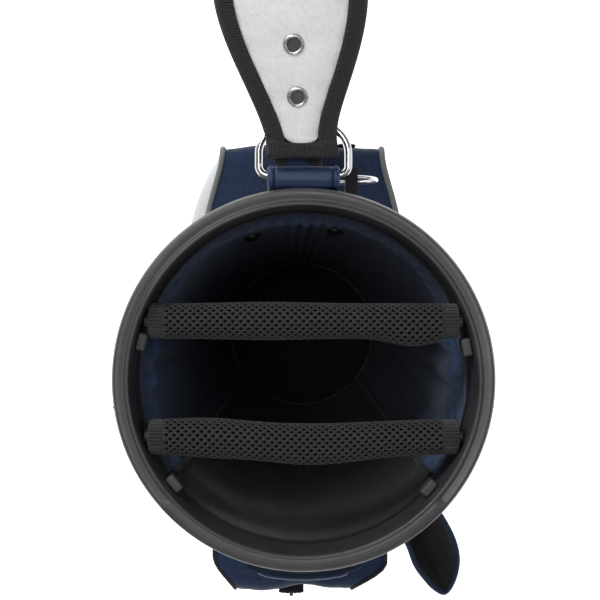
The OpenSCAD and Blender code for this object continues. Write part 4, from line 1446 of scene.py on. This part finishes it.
def handle_webbing(half_angle=26.0, z_half=10.6):
    """The handle's webbing: an arc standing off the shell, its ends sewn flat to it."""
    def point(u, v):
        side = 2 * u - 1
        a = -math.pi / 2 + side * math.radians(half_angle)
        r = handle_reach(side) + 0.3 * math.cos(math.pi * (v - 0.5)) - 0.3
        return polar(r * MM, a, (790 + (2 * v - 1) * z_half) * MM)
    return strip("grab_handle_webbing", 110, 18, point, (0.12, 2 * z_half * MM), 0.0016)


dress(handle_webbing(), M["navy"], "bag", "webbing", ["grab_handle"])


def grip_point(u, v):
    side = 2 * u - 1
    a = -math.pi / 2 + side * math.radians(12.5)
    turn = TAU * v
    centre = handle_reach(side, 0.48) - 0.8
    end = 1 - 0.22 * abs(side) ** 10
    bulge = 1 + 0.03 * math.sin(side * 16)
    r = centre + 3.6 * math.cos(turn) * end * bulge
    z = 790 + 14.6 * math.sin(turn) * end * (0.96 + 0.04 * bulge)
    return polar(r * MM, a, z * MM)


grip = orient(weld(grid_piece("grab_handle_grip", 90, 48, grip_point, (0.06, 0.06))))
thicken(grip, 0.0012)
dress(grip, M["navy"], "bag", "foam", ["handle_grip"])
handle_threads = []
for side in (-1, 1):
    for row in (-8.5, 8.5):
        spots = []
        for i in range(120):
            a = -math.pi / 2 + side * math.radians(25.4 - 5.5 * i / 119)
            n = Vector((math.cos(a), math.sin(a), 0))
            spots.append((polar(0.0999, a, (790 + row) * MM), n))
        handle_threads.append(stitch_row(spots, 0.0026, 0.00032))
dress(join("handle_bar_tacks", handle_threads), M["dark_thread"], "bag", "webbing")

# ---------------------------------------------------------------- stays, base, plate and legs
HARD = [
    ("stays", "stay_rods", "fibreglass", "fibreglass", 0.6),
    ("base_cup", "base_cup_moulding", "base", "base_plastic", 1.2),
    ("base_tread", "base_tread_rubber", "rubber", "rubber", 0.4),
    ("base_rivets", "base_rivet_heads", "steel", "steel", 0.7),
    ("leg_bracket_right", "leg_bracket_right_moulding", "base", "base_plastic", 0.9),
    ("leg_bracket_left", "leg_bracket_left_moulding", "base", "base_plastic", 0.9),
    ("bracket_screws", "bracket_screw_heads", "steel", "steel", 0.5),
    ("leg_pins", "leg_hinge_pins", "steel", "steel", 0.3),
    ("rod_guides", "rod_guide_clips", "base", "base_plastic", 0.7),
    ("leg_socket_right", "leg_socket_right_moulding", "base", "base_plastic", 1.0),
    ("leg_socket_left", "leg_socket_left_moulding", "base", "base_plastic", 1.0),
    ("leg_tube_right", "leg_right_tube", "leg", "leg_tube", 0.3),
    ("leg_tube_left", "leg_left_tube", "leg", "leg_tube", 0.3),
    ("actuator_rods", "actuator_rod_wires", "steel", "steel", 0.4),
    ("foot_plate", "foot_plate_moulding", "base", "base_plastic", 1.0),
    ("plate_tread", "plate_tread_rubber", "rubber", "rubber", 0.4),
    ("plate_pin", "foot_plate_pin", "steel", "steel", 0.4),
]
for node, title, look, slot, width in HARD:
    dress(softened(title, node, width * MM), M[look], body_of(frame["nodes"][node])[0], slot, [node])


def ribbed_foot(node, title):
    """Rubber leg foot: the CAD's envelope with moulded grip rings and a domed end."""
    (x0, y0, z0), (x1, y1, z1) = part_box(node)
    cx, cy = (x0 + x1) / 2, (y0 + y1) / 2
    r = min(x1 - x0, y1 - y0) / 2
    outline = [(0.0004, z0), (r * 0.55, z0 + 0.0003), (r * 0.86, z0 + 0.0016), (r * 0.98, z0 + 0.0042)]
    z = z0 + 0.0055
    while z < z1 - 0.006:
        outline += [(r * 0.995, z), (r * 0.995, z + 0.0012), (r * 0.92, z + 0.0017), (r * 0.92, z + 0.0025)]
        z += 0.0030
    outline += [(r * 0.97, z1 - 0.0022), (r * 0.93, z1 - 0.0008), (r * 0.87, z1), (r * 0.82, z1)]
    centre = Vector((cx, cy, 0))
    piece = turned_piece(title, outline, lambda a, r, z: centre + polar(r, a, z), 56, closed=False)
    return dress(piece, M["rubber"], body_of(frame["nodes"][node])[0], "rubber", [node])


ribbed_foot("leg_foot_right", "leg_foot_right_rubber")
ribbed_foot("leg_foot_left", "leg_foot_left_rubber")

springs = frame["nodes"]["return_springs"]
springs.data.materials.clear()
springs.data.materials.append(M["steel"])


def sleeve_girth(z):
    spots = [on_sleeve(i / 60, z) for i in range(61)]
    return sum((b - a).length for a, b in zip(spots, spots[1:]))


SLEEVE_GIRTHS = [sleeve_girth(SLEEVE_LOW + (SLEEVE_HIGH - SLEEVE_LOW) * (i + 0.5) / 20) for i in range(20)]
